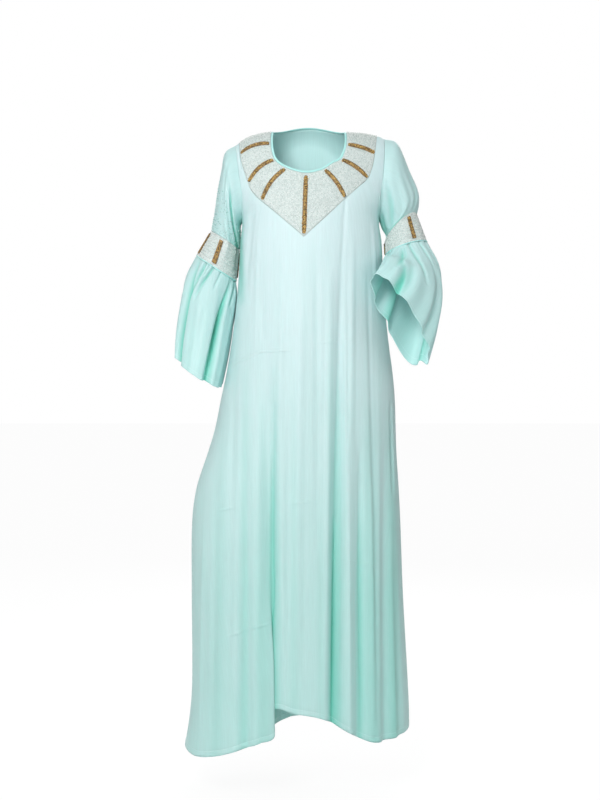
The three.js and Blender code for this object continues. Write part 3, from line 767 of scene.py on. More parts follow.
# A cloth piece from a grid of points, its columns running left to right from outside.
def gridPiece(name, points, turned=False, closed=False, masks=None):
    masks = {"foldShade": np.zeros(points.shape[:2]), **(masks or {})}
    uv = flatPattern(points)
    if turned:
        points, uv = points[::-1], uv[::-1]
        masks = {mask: values[::-1] for mask, values in masks.items()}
    columns, rows = points.shape[:2]
    shape = bmesh.new()
    bmesh.ops.create_grid(shape, x_segments=columns - 1, y_segments=rows - 1, size=1)
    mesh = bpy.data.meshes.new(name)
    shape.to_mesh(mesh)
    shape.free()
    place = np.zeros(len(mesh.vertices) * 3)
    mesh.vertices.foreach_get("co", place)
    place = place.reshape(-1, 3)
    low, high = place.min(0), place.max(0)
    i = np.rint((place[:, 0] - low[0]) / (high[0] - low[0]) * (columns - 1)).astype(int)
    j = np.rint((high[1] - place[:, 1]) / (high[1] - low[1]) * (rows - 1)).astype(int)
    mesh.vertices.foreach_set("co", (points[i, j] * mm).ravel())
    corner = np.zeros(len(mesh.loops), np.int32)
    mesh.loops.foreach_get("vertex_index", corner)
    layer = mesh.uv_layers.new(name="cloth")
    layer.data.foreach_set("uv", (uv[i, j] * mm)[corner].ravel())
    for mask, values in masks.items():
        stored = mesh.attributes.new(mask, "FLOAT", "POINT")
        stored.data.foreach_set("value", values[i, j].astype(np.float32))
    if closed:
        shape = bmesh.new()
        shape.from_mesh(mesh)
        bmesh.ops.remove_doubles(shape, verts=shape.verts, dist=0.02 * mm)
        shape.to_mesh(mesh)
        shape.free()
    mesh.polygons.foreach_set("use_smooth", np.ones(len(mesh.polygons), bool))
    mesh.update()
    return addPiece(name, mesh)


# Turns the faces of a closed piece outwards.
def faceOutwards(piece):
    shape = bmesh.new()
    shape.from_mesh(piece.data)
    bmesh.ops.recalc_face_normals(shape, faces=shape.faces)
    shape.to_mesh(piece.data)
    shape.free()


def addPiece(name, mesh):
    piece = bpy.data.objects.new(name, mesh)
    bpy.context.scene.collection.objects.link(piece)
    return piece


def finishPiece(piece, material, nodes=(), thick=0):
    piece.data.materials.append(material)
    if thick:
        shell = piece.modifiers.new("wall", "SOLIDIFY")
        shell.thickness = thick * mm
        shell.offset = -1
    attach(piece, "root")
    if nodes:
        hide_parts(*nodes)
    return piece


def beadMesh(detail):
    bead = bmesh.new()
    bmesh.ops.create_icosphere(bead, subdivisions=detail, radius=0.5)
    mesh = bpy.data.meshes.new("bead")
    bead.to_mesh(mesh)
    bead.free()
    return mesh


# One mesh that holds a bead at each place, pressed flat along its normal.
def scatter(name, places, normals, sizes, material, detail=1, flat=0.75, seed=1):
    bead = beadMesh(detail)
    corners = np.zeros(len(bead.vertices) * 3)
    bead.vertices.foreach_get("co", corners)
    corners = corners.reshape(-1, 3)
    faces = np.array([face.vertices[:] for face in bead.polygons])
    random = np.random.default_rng(seed)
    count = len(places)
    side = unit(np.cross(normals, random.normal(size=(count, 3))))
    ahead = np.cross(normals, side)
    axes = np.stack([side, ahead, normals * flat], 1)
    points = np.einsum("vk,nkd->nvd", corners, axes) * sizes[:, None, None] + places[:, None, :]
    index = (faces[None] + np.arange(count)[:, None, None] * len(corners)).reshape(-1)
    mesh = bpy.data.meshes.new(name)
    mesh.vertices.add(count * len(corners))
    mesh.loops.add(len(index))
    mesh.polygons.add(len(index) // 3)
    mesh.vertices.foreach_set("co", (points * mm).ravel())
    mesh.loops.foreach_set("vertex_index", index.astype(np.int32))
    mesh.polygons.foreach_set("loop_start", np.arange(0, len(index), 3, dtype=np.int32))
    mesh.polygons.foreach_set("use_smooth", np.ones(len(index) // 3, bool))
    tone = mesh.attributes.new("tone", "FLOAT", "POINT")
    tone.data.foreach_set("value", np.repeat(random.random(count), len(corners)).astype(np.float32))
    mesh.update(calc_edges=True)
    mesh.validate()
    bpy.data.meshes.remove(bead)
    return finishPiece(addPiece(name, mesh), material)


# Materials
# Joins an output to a socket, or sets the socket's own value.
def feed(tree, socket, value):
    if isinstance(value, bpy.types.NodeSocket):
        tree.links.new(value, socket)
    else:
        socket.default_value = value


def addNode(tree, kind, inputs=None, **settings):
    node = tree.nodes.new(kind)
    for name, value in settings.items():
        setattr(node, name, value)
    for name, value in (inputs or {}).items():
        feed(tree, node.inputs[name], value)
    return node


def mixColor(tree, factor, a, b, blend="MIX"):
    node = tree.nodes.new("ShaderNodeMix")
    node.data_type = "RGBA"
    node.blend_type = blend
    for place, value in ((0, factor), (6, a), (7, b)):
        feed(tree, node.inputs[place], (*value, 1) if isinstance(value, tuple) else value)
    return node.outputs[2]


def calc(tree, operation, a, b=0.0, clamp=False):
    node = addNode(tree, "ShaderNodeMath", operation=operation, use_clamp=clamp)
    for socket, value in zip(node.inputs, (a, b)):
        feed(tree, socket, value)
    return node.outputs[0]


# The sum of some outputs, each times its own share.
def weighted(tree, *parts, clamp=False):
    total = calc(tree, "MULTIPLY", *parts[0])
    for output, share in parts[1:]:
        total = calc(tree, "ADD", total, calc(tree, "MULTIPLY", output, share), clamp)
    return total


def ranged(tree, value, low, high, toLow=0.0, toHigh=1.0):
    limits = {"From Min": low, "From Max": high, "To Min": toLow, "To Max": toHigh}
    return addNode(tree, "ShaderNodeMapRange", {"Value": value, **limits}).outputs[0]


def attribute(tree, name):
    return addNode(tree, "ShaderNodeAttribute", attribute_name=name).outputs["Fac"]


def objectPlace(tree):
    return addNode(tree, "ShaderNodeTexCoord").outputs["Object"]


def noise(tree, vector, scale, detail=2.0, stretch=(1, 1, 1)):
    mapped = addNode(tree, "ShaderNodeMapping", {"Vector": vector, "Scale": stretch})
    settings = {"Vector": mapped.outputs[0], "Scale": scale, "Detail": detail}
    return addNode(tree, "ShaderNodeTexNoise", settings).outputs["Fac"]


# A node group, with what each of its sockets holds: Color, Float or Vector.
def newGroup(name, inputs, outputs):
    group = bpy.data.node_groups.new(name, "ShaderNodeTree")
    for way, sockets in (("INPUT", inputs), ("OUTPUT", outputs)):
        for socket, kind in sockets.items():
            group.interface.new_socket(socket, in_out=way, socket_type=f"NodeSocket{kind}")
    return group, group.nodes.new("NodeGroupInput").outputs, group.nodes.new("NodeGroupOutput").inputs


# in metres: where a stitch row lies above the hem, half its width, and one stitch with its gap
stitching = {"fromHem": 0.0122, "half": 0.0008, "length": 0.0034, "share": 0.7, "tone": (0.7, 0.92, 0.92)}


# Fine upright slubs, a slow random change of tone, painted shade that makes the cloth darker and greener
# towards the hem and in its folds, and a close weave, for any cloth with its own UVs.
def slubGroup():
    tones = {name: "Color" for name in ("Tone A", "Tone B", "Shade Tone")}
    masks = {name: "Float" for name in ("Shade Amount", "Relief", "From Hem")}
    results = {"Color": "Color", "Roughness": "Float", "Normal": "Vector"}
    group, given, out = newGroup("slubCloth", {**tones, **masks}, results)
    cloth = addNode(group, "ShaderNodeUVMap", uv_map="cloth").outputs[0]
    slubs = noise(group, cloth, 1.0, 3.0, (430, 15, 1))
    wide = noise(group, cloth, 1.0, 3.0, (52, 1.5, 1))
    patch = noise(group, cloth, 1.0, 2.0, (7, 5, 1))
    crinkle = noise(group, cloth, 1.0, 3.0, (190, 34, 1))
    threads = addNode(group, "ShaderNodeTexWave", {"Vector": cloth, "Scale": 330.0, "Distortion": 1.2})
    tone = ranged(group, weighted(group, (wide, 0.62), (patch, 0.38)), 0.2, 0.8)
    # painted shade: lower down the cloth the tone turns to Tone B, darker and greener towards the hem
    height = addNode(group, "ShaderNodeSeparateXYZ", {"Vector": objectPlace(group)}).outputs["Z"]
    lower = ranged(group, height, -0.25, -1.1)
    tone = weighted(group, (tone, 0.4), (lower, 0.72), clamp=True)
    color = mixColor(group, tone, given["Tone A"], given["Tone B"])
    # painted shade: the fold tone is mixed in where the mask says the cloth lies deep
    color = mixColor(group, given["Shade Amount"], color, given["Shade Tone"])
    color = mixColor(group, 1.0, color, ranged(group, slubs, 0.3, 0.7, 0.97, 1.025), "MULTIPLY")
    # a row of machine stitches at the top of the turned hem
    away = calc(group, "ABSOLUTE", calc(group, "SUBTRACT", given["From Hem"], stitching["fromHem"]))
    row = calc(group, "SUBTRACT", 1.0, calc(group, "DIVIDE", away, stitching["half"]), True)
    across = addNode(group, "ShaderNodeSeparateXYZ", {"Vector": cloth}).outputs["X"]
    along = calc(group, "FRACT", calc(group, "DIVIDE", across, stitching["length"]))
    stitch = calc(group, "MULTIPLY", row, calc(group, "LESS_THAN", along, stitching["share"]))
    color = mixColor(group, calc(group, "MULTIPLY", stitch, 0.6), color, stitching["tone"])
    weave = threads.outputs["Fac"]
    relief = weighted(group, (slubs, 0.5), (crinkle, 1.1), (weave, 0.1), (stitch, 1.5))
    bump = addNode(
        group, "ShaderNodeBump", {"Strength": given["Relief"], "Height": relief, "Distance": 0.0006}
    )
    feed(group, out["Color"], color)
    feed(group, out["Roughness"], calc(group, "ADD", calc(group, "MULTIPLY", slubs, 0.16), 0.42))
    feed(group, out["Normal"], bump.outputs[0])
    return group


# A raised line pressed into the cloth from one place to another, as a height.
def pressedLineGroup():
    ends = {"Start": "Vector", "End": "Vector", "Width": "Float"}
    group, given, out = newGroup("pressedLine", ends, {"Height": "Float"})

    def vector(operation, a, b, output="Vector"):
        node = addNode(group, "ShaderNodeVectorMath", operation=operation)
        for socket, value in zip(node.inputs, (a, b)):
            feed(group, socket, value)
        return node.outputs[output]

    place = objectPlace(group)
    wobble = addNode(group, "ShaderNodeTexNoise", {"Vector": place, "Scale": 14.0}).outputs["Color"]
    wobble = vector("MULTIPLY", vector("SUBTRACT", wobble, (0.5, 0.5, 0.5)), (0.012, 0, 0.012))
    place = vector("ADD", vector("MULTIPLY", place, (1, 0, 1)), wobble)
    fromStart = vector("SUBTRACT", place, given["Start"])
    line = vector("SUBTRACT", given["End"], given["Start"])
    shares = [vector("DOT_PRODUCT", part, line, "Value") for part in (fromStart, line)]
    along = calc(group, "DIVIDE", *shares, True)
    nearest = addNode(group, "ShaderNodeVectorMath", {0: line, "Scale": along}, operation="SCALE")
    far = vector("DISTANCE", fromStart, nearest.outputs[0], "Value")
    away = calc(group, "DIVIDE", far, given["Width"], True)
    rise = calc(group, "SUBTRACT", 1.0, calc(group, "MULTIPLY", away, away))
    fading = calc(group, "SINE", calc(group, "MULTIPLY", along, math.pi))
    feed(group, out["Height"], calc(group, "MULTIPLY", rise, calc(group, "POWER", fading, 0.5)))
    return group


# Adds pressed lines over what already shapes a cloth's surface.
def pressLines(material, group, lines, deep):
    tree = material.node_tree
    shader = tree.nodes["Principled BSDF"]
    total = 0.0
    for line in rowsOf(lines):
        start, end = (line["x"] * mm, 0, line["z"] * mm), (line["toX"] * mm, 0, line["toZ"] * mm)
        ends = {"Start": start, "End": end, "Width": line["wide"] * mm}
        press = addNode(tree, "ShaderNodeGroup", ends, node_tree=group)
        total = calc(tree, "ADD", total, calc(tree, "MULTIPLY", press.outputs["Height"], line["high"]))
    under = shader.inputs["Normal"].links[0].from_socket
    bump = addNode(tree, "ShaderNodeBump", {"Height": total, "Normal": under, "Distance": deep * mm})
    feed(tree, shader.inputs["Normal"], bump.outputs[0])


def newMaterial(name, sockets):
    material = bpy.data.materials.new(name)
    material.use_nodes = True
    tree = material.node_tree
    shader = tree.nodes["Principled BSDF"]
    for socket, value in sockets.items():
        shader.inputs[socket].default_value = value
    return material, tree, shader


# The cloth's look in a material: its tone above, the painted shade that darkens it below and in the folds,
# and its relief.
def slubNode(tree, upper, lower, fold, relief):
    cloth = addNode(tree, "ShaderNodeGroup", node_tree=slubs)
    for socket, value in (("Tone A", upper), ("Tone B", lower), ("Shade Tone", fold)):
        feed(tree, cloth.inputs[socket], (*value, 1))
    feed(tree, cloth.inputs["Relief"], relief)
    feed(tree, cloth.inputs["Shade Amount"], attribute(tree, "foldShade"))
    return cloth


def clothMaterial(name, upper, lower, fold, sheen):
    material, tree, shader = newMaterial(
        name,
        {
            "Sheen Weight": sheen,
            "Sheen Roughness": 0.35,
            "Sheen Tint": (0.86, 0.97, 1.0, 1),
            "Specular IOR Level": 0.35,
            "Subsurface Weight": 0.5,  # light that passes through the thin cloth
            "Subsurface Radius": (1.0, 1.3, 1.25),
            "Subsurface Scale": 0.003,
        },
    )
    cloth = slubNode(tree, upper, lower, fold, 0.4)
    feed(tree, cloth.inputs["From Hem"], attribute(tree, "fromHem"))
    for socket, output in (("Base Color", "Color"), ("Roughness", "Roughness"), ("Normal", "Normal")):
        feed(tree, shader.inputs[socket], cloth.outputs[output])
    return material


# Beads that differ from one to the next, each a little worn.
def beadMaterial(name, dark, light, metal, rough, coat):
    material, tree, shader = newMaterial(
        name, {"Metallic": metal, "Coat Weight": coat, "Coat Roughness": 0.12, "IOR": 1.5}
    )
    place = objectPlace(tree)
    clusters = noise(tree, place, 190.0, 1.0)
    tone = weighted(tree, (attribute(tree, "tone"), 0.55), (clusters, 0.45))
    ramp = addNode(tree, "ShaderNodeValToRGB", {"Fac": tone})
    for step, color, position in zip(ramp.color_ramp.elements, (dark, light), (0.28, 0.68)):
        step.color = (*color, 1)
        step.position = position
    grime = noise(tree, place, 420.0, 3.0)
    color = mixColor(tree, calc(tree, "MULTIPLY", grime, 0.5), ramp.outputs[0], dark)
    feed(tree, shader.inputs["Base Color"], color)
    feed(tree, shader.inputs["Roughness"], calc(tree, "ADD", calc(tree, "MULTIPLY", grime, 0.2), rough))
    return material


# The padding under the bars' beads, speckled like them.
def padMaterial(name, dark, light):
    material, tree, shader = newMaterial(name, {"Metallic": 0.2, "Specular IOR Level": 0.5})
    cells = addNode(tree, "ShaderNodeTexVoronoi", {"Vector": objectPlace(tree), "Scale": 420.0})
    tone = addNode(tree, "ShaderNodeSeparateColor", {"Color": cells.outputs["Color"]}).outputs[0]
    feed(tree, shader.inputs["Base Color"], mixColor(tree, tone, dark, light))
    height = calc(tree, "SUBTRACT", 1.0, cells.outputs["Distance"])
    bump = addNode(tree, "ShaderNodeBump", {"Height": height, "Distance": 0.001, "Strength": 0.8})
    feed(tree, shader.inputs["Normal"], bump.outputs[0])
    feed(tree, shader.inputs["Roughness"], calc(tree, "ADD", calc(tree, "MULTIPLY", tone, 0.25), 0.35))
    return material


# The cloth under close beadwork, which shows between the beads. Its raised cells are darker in the gaps
# between them, partly its own colour and partly painted shade; the dark tone is painted shade in its folds
# too.
def groundMaterial(name, base, dark):
    material, tree, shader = newMaterial(name, {"Specular IOR Level": 0.5})
    place = addNode(tree, "ShaderNodeUVMap", uv_map="cloth").outputs[0]
    cells = addNode(tree, "ShaderNodeTexVoronoi", {"Vector": place, "Scale": 420.0, "Randomness": 0.55})
    far = cells.outputs["Distance"]
    cloth = slubNode(tree, base, [0.94 * value for value in base], dark, 0.3)
    shadedGaps = ranged(tree, far, 0.35, 0.75)
    color = mixColor(tree, calc(tree, "MULTIPLY", shadedGaps, 0.6), cloth.outputs["Color"], dark)
    dome = calc(tree, "SUBTRACT", 1.0, calc(tree, "POWER", far, 2.0))
    relief = {"Strength": 0.9, "Distance": 0.0009, "Height": dome, "Normal": cloth.outputs["Normal"]}
    feed(tree, shader.inputs["Base Color"], color)
    feed(tree, shader.inputs["Normal"], addNode(tree, "ShaderNodeBump", relief).outputs[0])
    feed(tree, shader.inputs["Roughness"], calc(tree, "ADD", calc(tree, "MULTIPLY", shadedGaps, 0.4), 0.28))
    return material


slubs = slubGroup()
# tone above, the painted shade below and in the folds, and sheen; the front's tones are a lit copy of the
# same satin, painted lighter where light falls on the front
satins = {
    "mintSatin": ((0.5, 0.75, 0.75), (0.42, 0.73, 0.68), (0.14, 0.58, 0.46), 0.12),
    "mintFrontLit": ((0.62, 0.81, 0.84), (0.46, 0.76, 0.72), (0.14, 0.58, 0.46), 0.12),
    "mintBinding": ((0.42, 0.76, 0.74), (0.4, 0.74, 0.68), (0.12, 0.42, 0.36), 0.1),
}
mint, mintFrontLit, mintTrim = [clothMaterial(name, *values) for name, values in satins.items()]
pressed = table(
    "x z toX toZ wide high",
    [-192, -562, -110, -529, 4, 1],
    [-118, -531, -44, -526, 3.5, 0.8],
    [-212, -898, -172, -889, 4, 0.7],
    [-192, -1182, -152, -1168, 4, 0.7],
    [-158, -1168, -86, -1146, 4, 0.9],
    [10, -512, 96, -500, 4, 0.4],
    [-60, -880, 20, -872, 4, 0.4],
    [70, -1010, 168, -1026, 4, 0.4],
)
pressLines(mintFrontLit, pressedLineGroup(), pressed, 1.1)
# the second colour is painted shade, in the gaps between cells and in the folds
pearlGround = groundMaterial("beadedGround", (0.66, 0.74, 0.72), (0.42, 0.55, 0.53))
# dark and light tone, metal, roughness and coat
beadKinds = {
    "pearlBeads": ((0.5, 0.56, 0.54), (0.97, 0.98, 0.96), 0.0, 0.16, 0.5),
    "mintBeads": ((0.2, 0.5, 0.44), (0.86, 0.97, 0.96), 0.0, 0.16, 0.5),
    "bronzeBeads": ((0.035, 0.018, 0.003), (0.88, 0.57, 0.15), 0.3, 0.25, 0.4),
}
pearlBeads, mintBeads, bronzeBeads = [beadMaterial(name, *values) for name, values in beadKinds.items()]
barPadding = padMaterial("barPadding", (0.05, 0.022, 0.005), (0.4, 0.25, 0.09))
print("materials made")

# Front and back
panelGrid = {"columns": 6, "rows": 6, "skirt": 11, "rowLength": 110, "cloth": 0.8}
hem = {"height": 11, "end": 1.25, "lift": 0.35, "stitchAt": 12.5, "stitchWide": 1.2, "stitchSink": 0.5}
# painted shade from fold depth: where it starts, over what depth it grows, its most, and its limit with the
# shades added
shadeFromDepth = {"from": 9, "over": 24, "most": 0.85, "limit": 0.95}


# Row places, close together where the hem is turned up.
def panelRows():
    zone = np.linspace(0, cut["armholeRows"], cut["armholeRows"] * panelGrid["rows"] + 1)
    last = cut["armholeRows"] + cut["skirtRows"]
    hemStart = last - hem["height"] * hem["end"] / panelGrid["rowLength"]
    skirt = np.linspace(cut["armholeRows"], hemStart, cut["skirtRows"] * panelGrid["skirt"])[1:]
    turnedUp = hemStart + (last - hemStart) * np.array([0.08, 0.16, 0.3, 0.65, 1])
    return np.concatenate([zone, skirt, turnedUp])


# The turned hem stands a little proud, below a stitched groove.
def hemRelief(points, rows):
    last = rows[-1]
    up = (last - rows) * panelGrid["rowLength"]
    groove = hem["stitchSink"] * np.exp(-(((up - hem["stitchAt"]) / hem["stitchWide"]) ** 2))
    lift = np.where(up < hem["height"], hem["lift"], 0) - groove
    across = np.gradient(points, axis=0)
    along = np.gradient(points, axis=1)
    return points + unit(np.cross(along, across)) * lift[None, :, None]


def makePanel(name, side):
    _, _, lastColumn = panelTops(side, np.zeros(1))
    columns = np.linspace(0, lastColumn, int(lastColumn) * panelGrid["columns"] + 1)
    rows = panelRows()
    points, x, z, inwards = panelPoints(side, columns, rows)
    points = hemRelief(points, rows) if side < 0 else 2 * points - hemRelief(points, rows)
    # painted shade, deeper where the folds and creases sink and along the shades table
    sunk = (inwards + creaseDepth(side, x, z) - shadeFromDepth["from"]) / shadeFromDepth["over"]
    foldShade = np.clip(sunk, 0, shadeFromDepth["most"]) + shadeAt(shades[side], x, z)
    fromHem = np.broadcast_to((rows[-1] - rows) * panelGrid["rowLength"] * mm, x.shape)
    masks = {"foldShade": np.clip(foldShade, 0, shadeFromDepth["limit"]), "fromHem": fromHem}
    piece = gridPiece(f"{name}_cloth", points, turned=side > 0, masks=masks)
    material = mintFrontLit if side < 0 else mint
    return finishPiece(piece, material, [f"{name}_panel"], panelGrid["cloth"])


front = makePanel("front", -1)
back = makePanel("back", 1)
print("panels made")

# Yoke
yoke = {
    "raySteps": 8,
    "rows": 22,
    "cloth": 1.4,
    "pitch": 3.1,  # between two beads
    "bead": 2.5,
    "smallest": 0.8,
    "largest": 1.08,
    "sit": 0.5,  # how far a bead's middle stands above the cloth
    "edge": 0.025,
    "barClear": 5.6,
    "half": 170,
}
bar = {"start": 0.05, "end": 0.95, "width": 10, "lift": 2.5, "bead": 2.35, "along": 2.1, "across": 5}


def makeYoke():
    rays = np.linspace(0, lastRay, lastRay * yoke["raySteps"] + 1)
    ts = np.linspace(0, 1, yoke["rows"] + 1)
    x, run = yokePlace(rays[:, None], ts[None, :] * 0.997)
    points = bodyPoint(-1, x, np.maximum(run, cut["gap"]))
    piece = gridPiece("yoke_cloth", points)
    return finishPiece(piece, pearlGround, ["yoke"], yoke["cloth"])


# Which points lie inside a closed outline.
def insideOf(x, y, outline):
    hit = np.zeros(x.shape, bool)
    for (ax, ay), (bx, by) in zip(outline, np.roll(outline, -1, axis=0)):
        crosses = (ay > y) != (by > y)
        if ay != by:
            hit ^= crosses & (x < (bx - ax) * (y - ay) / (by - ay) + ax)
    return hit


# x and run along a bar, with its bow, and the direction that runs down it.
def barLine(ray, t):
    x, run = yokePlace(ray + 0 * t, t)
    nextX, nextRun = yokePlace(ray + 0 * t, t + 0.01)
    along = unit(np.stack([nextX - x, nextRun - run], -1))
    bow = yokeRays["bow"][ray] * np.sin(t * math.pi) * np.sign(yokeRays["neckX"][ray])
    return x + along[:, 1] * bow, run - along[:, 0] * bow, along


def makeYokeBeads():
    rays = np.linspace(0, lastRay, 200)
    inner = np.stack(yokePlace(rays, yoke["edge"]), -1)
    outer = np.stack(yokePlace(rays, 1 - yoke["edge"]), -1)
    outline = np.concatenate([inner, outer[::-1]])
    random = np.random.default_rng(11)
    pitch = yoke["pitch"]
    rowAt = np.arange(pitch, outline[:, 1].max(), pitch)
    xs = np.arange(-yoke["half"], yoke["half"], pitch)
    run, x = np.meshgrid(rowAt, xs, indexing="ij")
    x = x + np.where(np.arange(len(rowAt)) % 2, pitch / 2, 0)[:, None]
    x, run = x.ravel(), run.ravel()
    x, run = x + random.normal(0, 0.3, x.shape), run + random.normal(0, 0.22, x.shape)
    keep = insideOf(x, run, outline)
    for ray in np.flatnonzero(yokeRays["bar"]):
        barX, barRun, _ = barLine(ray, np.linspace(bar["start"], bar["end"], 40))
        apart = np.hypot(x[:, None] - barX, run[:, None] - barRun).min(1)
        keep &= apart > yoke["barClear"]
    x, run = x[keep], run[keep]
    normals = bodyNormal(-1, x, run)
    sizes = yoke["bead"] * random.uniform(yoke["smallest"], yoke["largest"], len(x))
    places = bodyPoint(-1, x, run) + normals * yoke["sit"]
    return scatter("yoke_beads", places, normals, sizes, pearlBeads, seed=3)


# Rows of beads over a padded bar: points along it and its directions, all (n, 3).
def barBeads(name, centre, across, normal, length, material, seed):
    random = np.random.default_rng(seed)
    count = int(length / bar["along"])
    at = np.linspace(0, len(centre) - 1, count)
    low = np.floor(at).astype(int).clip(0, len(centre) - 2)
    part = (at - low)[:, None]
    line = [mix(values[low], values[low + 1], part) for values in (centre, across, normal)]
    places, normals = [], []
    for k in range(bar["across"]):
        aside = (k / (bar["across"] - 1) - 0.5) * 2
        # the bar's ends are rounded
        end = np.sqrt(np.clip(1 - 0.45 * np.abs(2 * at / (len(centre) - 1) - 1) ** 14, 0, 1))
        shift = aside * 0.4 * bar["width"] * end + random.normal(0, 0.5, count)
        lift = bar["lift"] - 1.5 * aside ** 2 + random.normal(0, 0.18, count)
        stagger = (k % 2) * 0.5 * bar["along"]
        along = unit(np.cross(line[1], line[2]))
        places.append(line[0] + line[1] * shift[:, None] + line[2] * lift[:, None] + along * stagger)
        normals.append(unit(line[2] + line[1] * aside * 0.7))
    places, normals = np.concatenate(places), np.concatenate(normals)
    sizes = bar["bead"] * random.uniform(0.85, 1.15, len(places))
    return scatter(name, places, normals, sizes, material, detail=2, flat=0.85, seed=seed)


def makeYokeBars():
    bars = []
    for ray in np.flatnonzero(yokeRays["bar"]):
        number = int(yokeRays["bar"][ray])
        t = np.linspace(bar["start"] + 0.01, bar["end"] - 0.01, 60)
        x, run, along = barLine(ray, t)
        centre = bodyPoint(-1, x, run)
        aside = bodyPoint(-1, x + along[:, 1], run - along[:, 0]) - centre
        normal = bodyNormal(-1, x, run)
        length = np.linalg.norm(np.diff(centre, axis=0), axis=1).sum()
        name = f"yoke_bar_beads_{number}"
        bars.append(barBeads(name, centre, unit(aside), normal, length, bronzeBeads, 20 + number))
    return bars


yokeCloth = makeYoke()
beadwork = [makeYokeBeads(), *makeYokeBars()]
print("yoke made")

# Neck binding
binding = {"width": 5, "height": 2.6, "steps": 14, "lift": 0.6, "gap": 0.4, "square": 0.8}


def makeBinding():
    rays = np.linspace(0, lastRay, lastRay * 8 + 1)
    x, run = yokePlace(rays, 0.0)
    frontRun = np.maximum(run, cut["gap"])
    napeX = np.linspace(cut["neckHalf"], -cut["neckHalf"], 90)[1:-1]
    ring = np.concatenate([bodyPoint(-1, x, frontRun), bodyPoint(1, napeX, napeRun(napeX))])
    normal = np.concatenate([bodyNormal(-1, x, frontRun), bodyNormal(1, napeX, napeRun(napeX))])
    ring, normal = np.concatenate([ring, ring[:1]]), np.concatenate([normal, normal[:1]])
    along = unit(np.roll(ring[:-1], -1, axis=0) - np.roll(ring[:-1], 1, axis=0))
    along = np.concatenate([along, along[:1]])
    inwards = unit(np.cross(along, normal))
    inwards *= np.sign((inwards * (ring.mean(0) - ring)).sum(-1, keepdims=True))
    up = unit(np.cross(inwards, along))
    up *= np.sign((up * normal).sum(-1, keepdims=True))
    halfWide, halfHigh = binding["width"] / 2, binding["height"] / 2
    centre = ring + inwards * (halfWide + binding["gap"]) + up * (binding["lift"] - halfHigh)
    turn = np.linspace(0, 2 * math.pi, binding["steps"] + 1)
    wide, high = [np.sign(wave) * np.abs(wave) ** binding["square"] for wave in (np.cos(turn), np.sin(turn))]
    points = centre[:, None] + inwards[:, None] * (wide * halfWide)[None, :, None]
    points += up[:, None] * (high * halfHigh)[None, :, None]
    piece = gridPiece("neck_binding_cloth", points, closed=True)
    faceOutwards(piece)
    finishPiece(piece, mintTrim, ["neck_binding"])


makeBinding()
print("binding made")

# Arms
armGrid = {"around": 192, "sleeve": 60, "band": 30, "flounce": 90, "flounceLength": 270, "cloth": 0.8}
bandBar = {"start": 0.1, "end": 0.88, "clear": 5.4}
bandBead = {"pitch": 3.2, "size": 2.5, "cloth": 1.2}
bandEdge = {"sides": 8, "steps": 128, "at": 0.985, "radius": 1.7}


def tubeNormal(points, side):
    around = np.gradient(np.concatenate([points[-2:-1], points, points[1:2]]), axis=0)[1:-1]
    along = np.gradient(points, axis=1)
    return unit(np.cross(around, along) * side)


def makeSleeve(hand, arm):
    turn = np.linspace(0, 1, armGrid["around"] + 1)
    t = np.linspace(0, 0.999, armGrid["sleeve"] + 1)
    points = sleevePoints(arm, turn, t)
    # painted shade in the sleeve's creases, where it lies against the body, and above the band where it
    # tucks under
    foldShade = np.clip((-tubeCreases(arm["sleeveCreases"], turn, t) - 1.5) / 9, 0, 0.7)
    foldShade += hump((turn - arm["inside"]) / 0.12)[:, None] * ease(t * 2)[None] * 0.5
    foldShade += hump((turn - arm["tucked"]) / 0.2)[:, None] * ease((t - 0.88) / 0.1)[None] * 0.8
    masks = {"foldShade": np.clip(foldShade, 0, 0.9)}
    piece = gridPiece(f"sleeve_{hand}_cloth", points, turned=arm["side"] > 0, closed=True, masks=masks)
    return finishPiece(piece, mint, [f"sleeve_{hand}"], armGrid["cloth"])


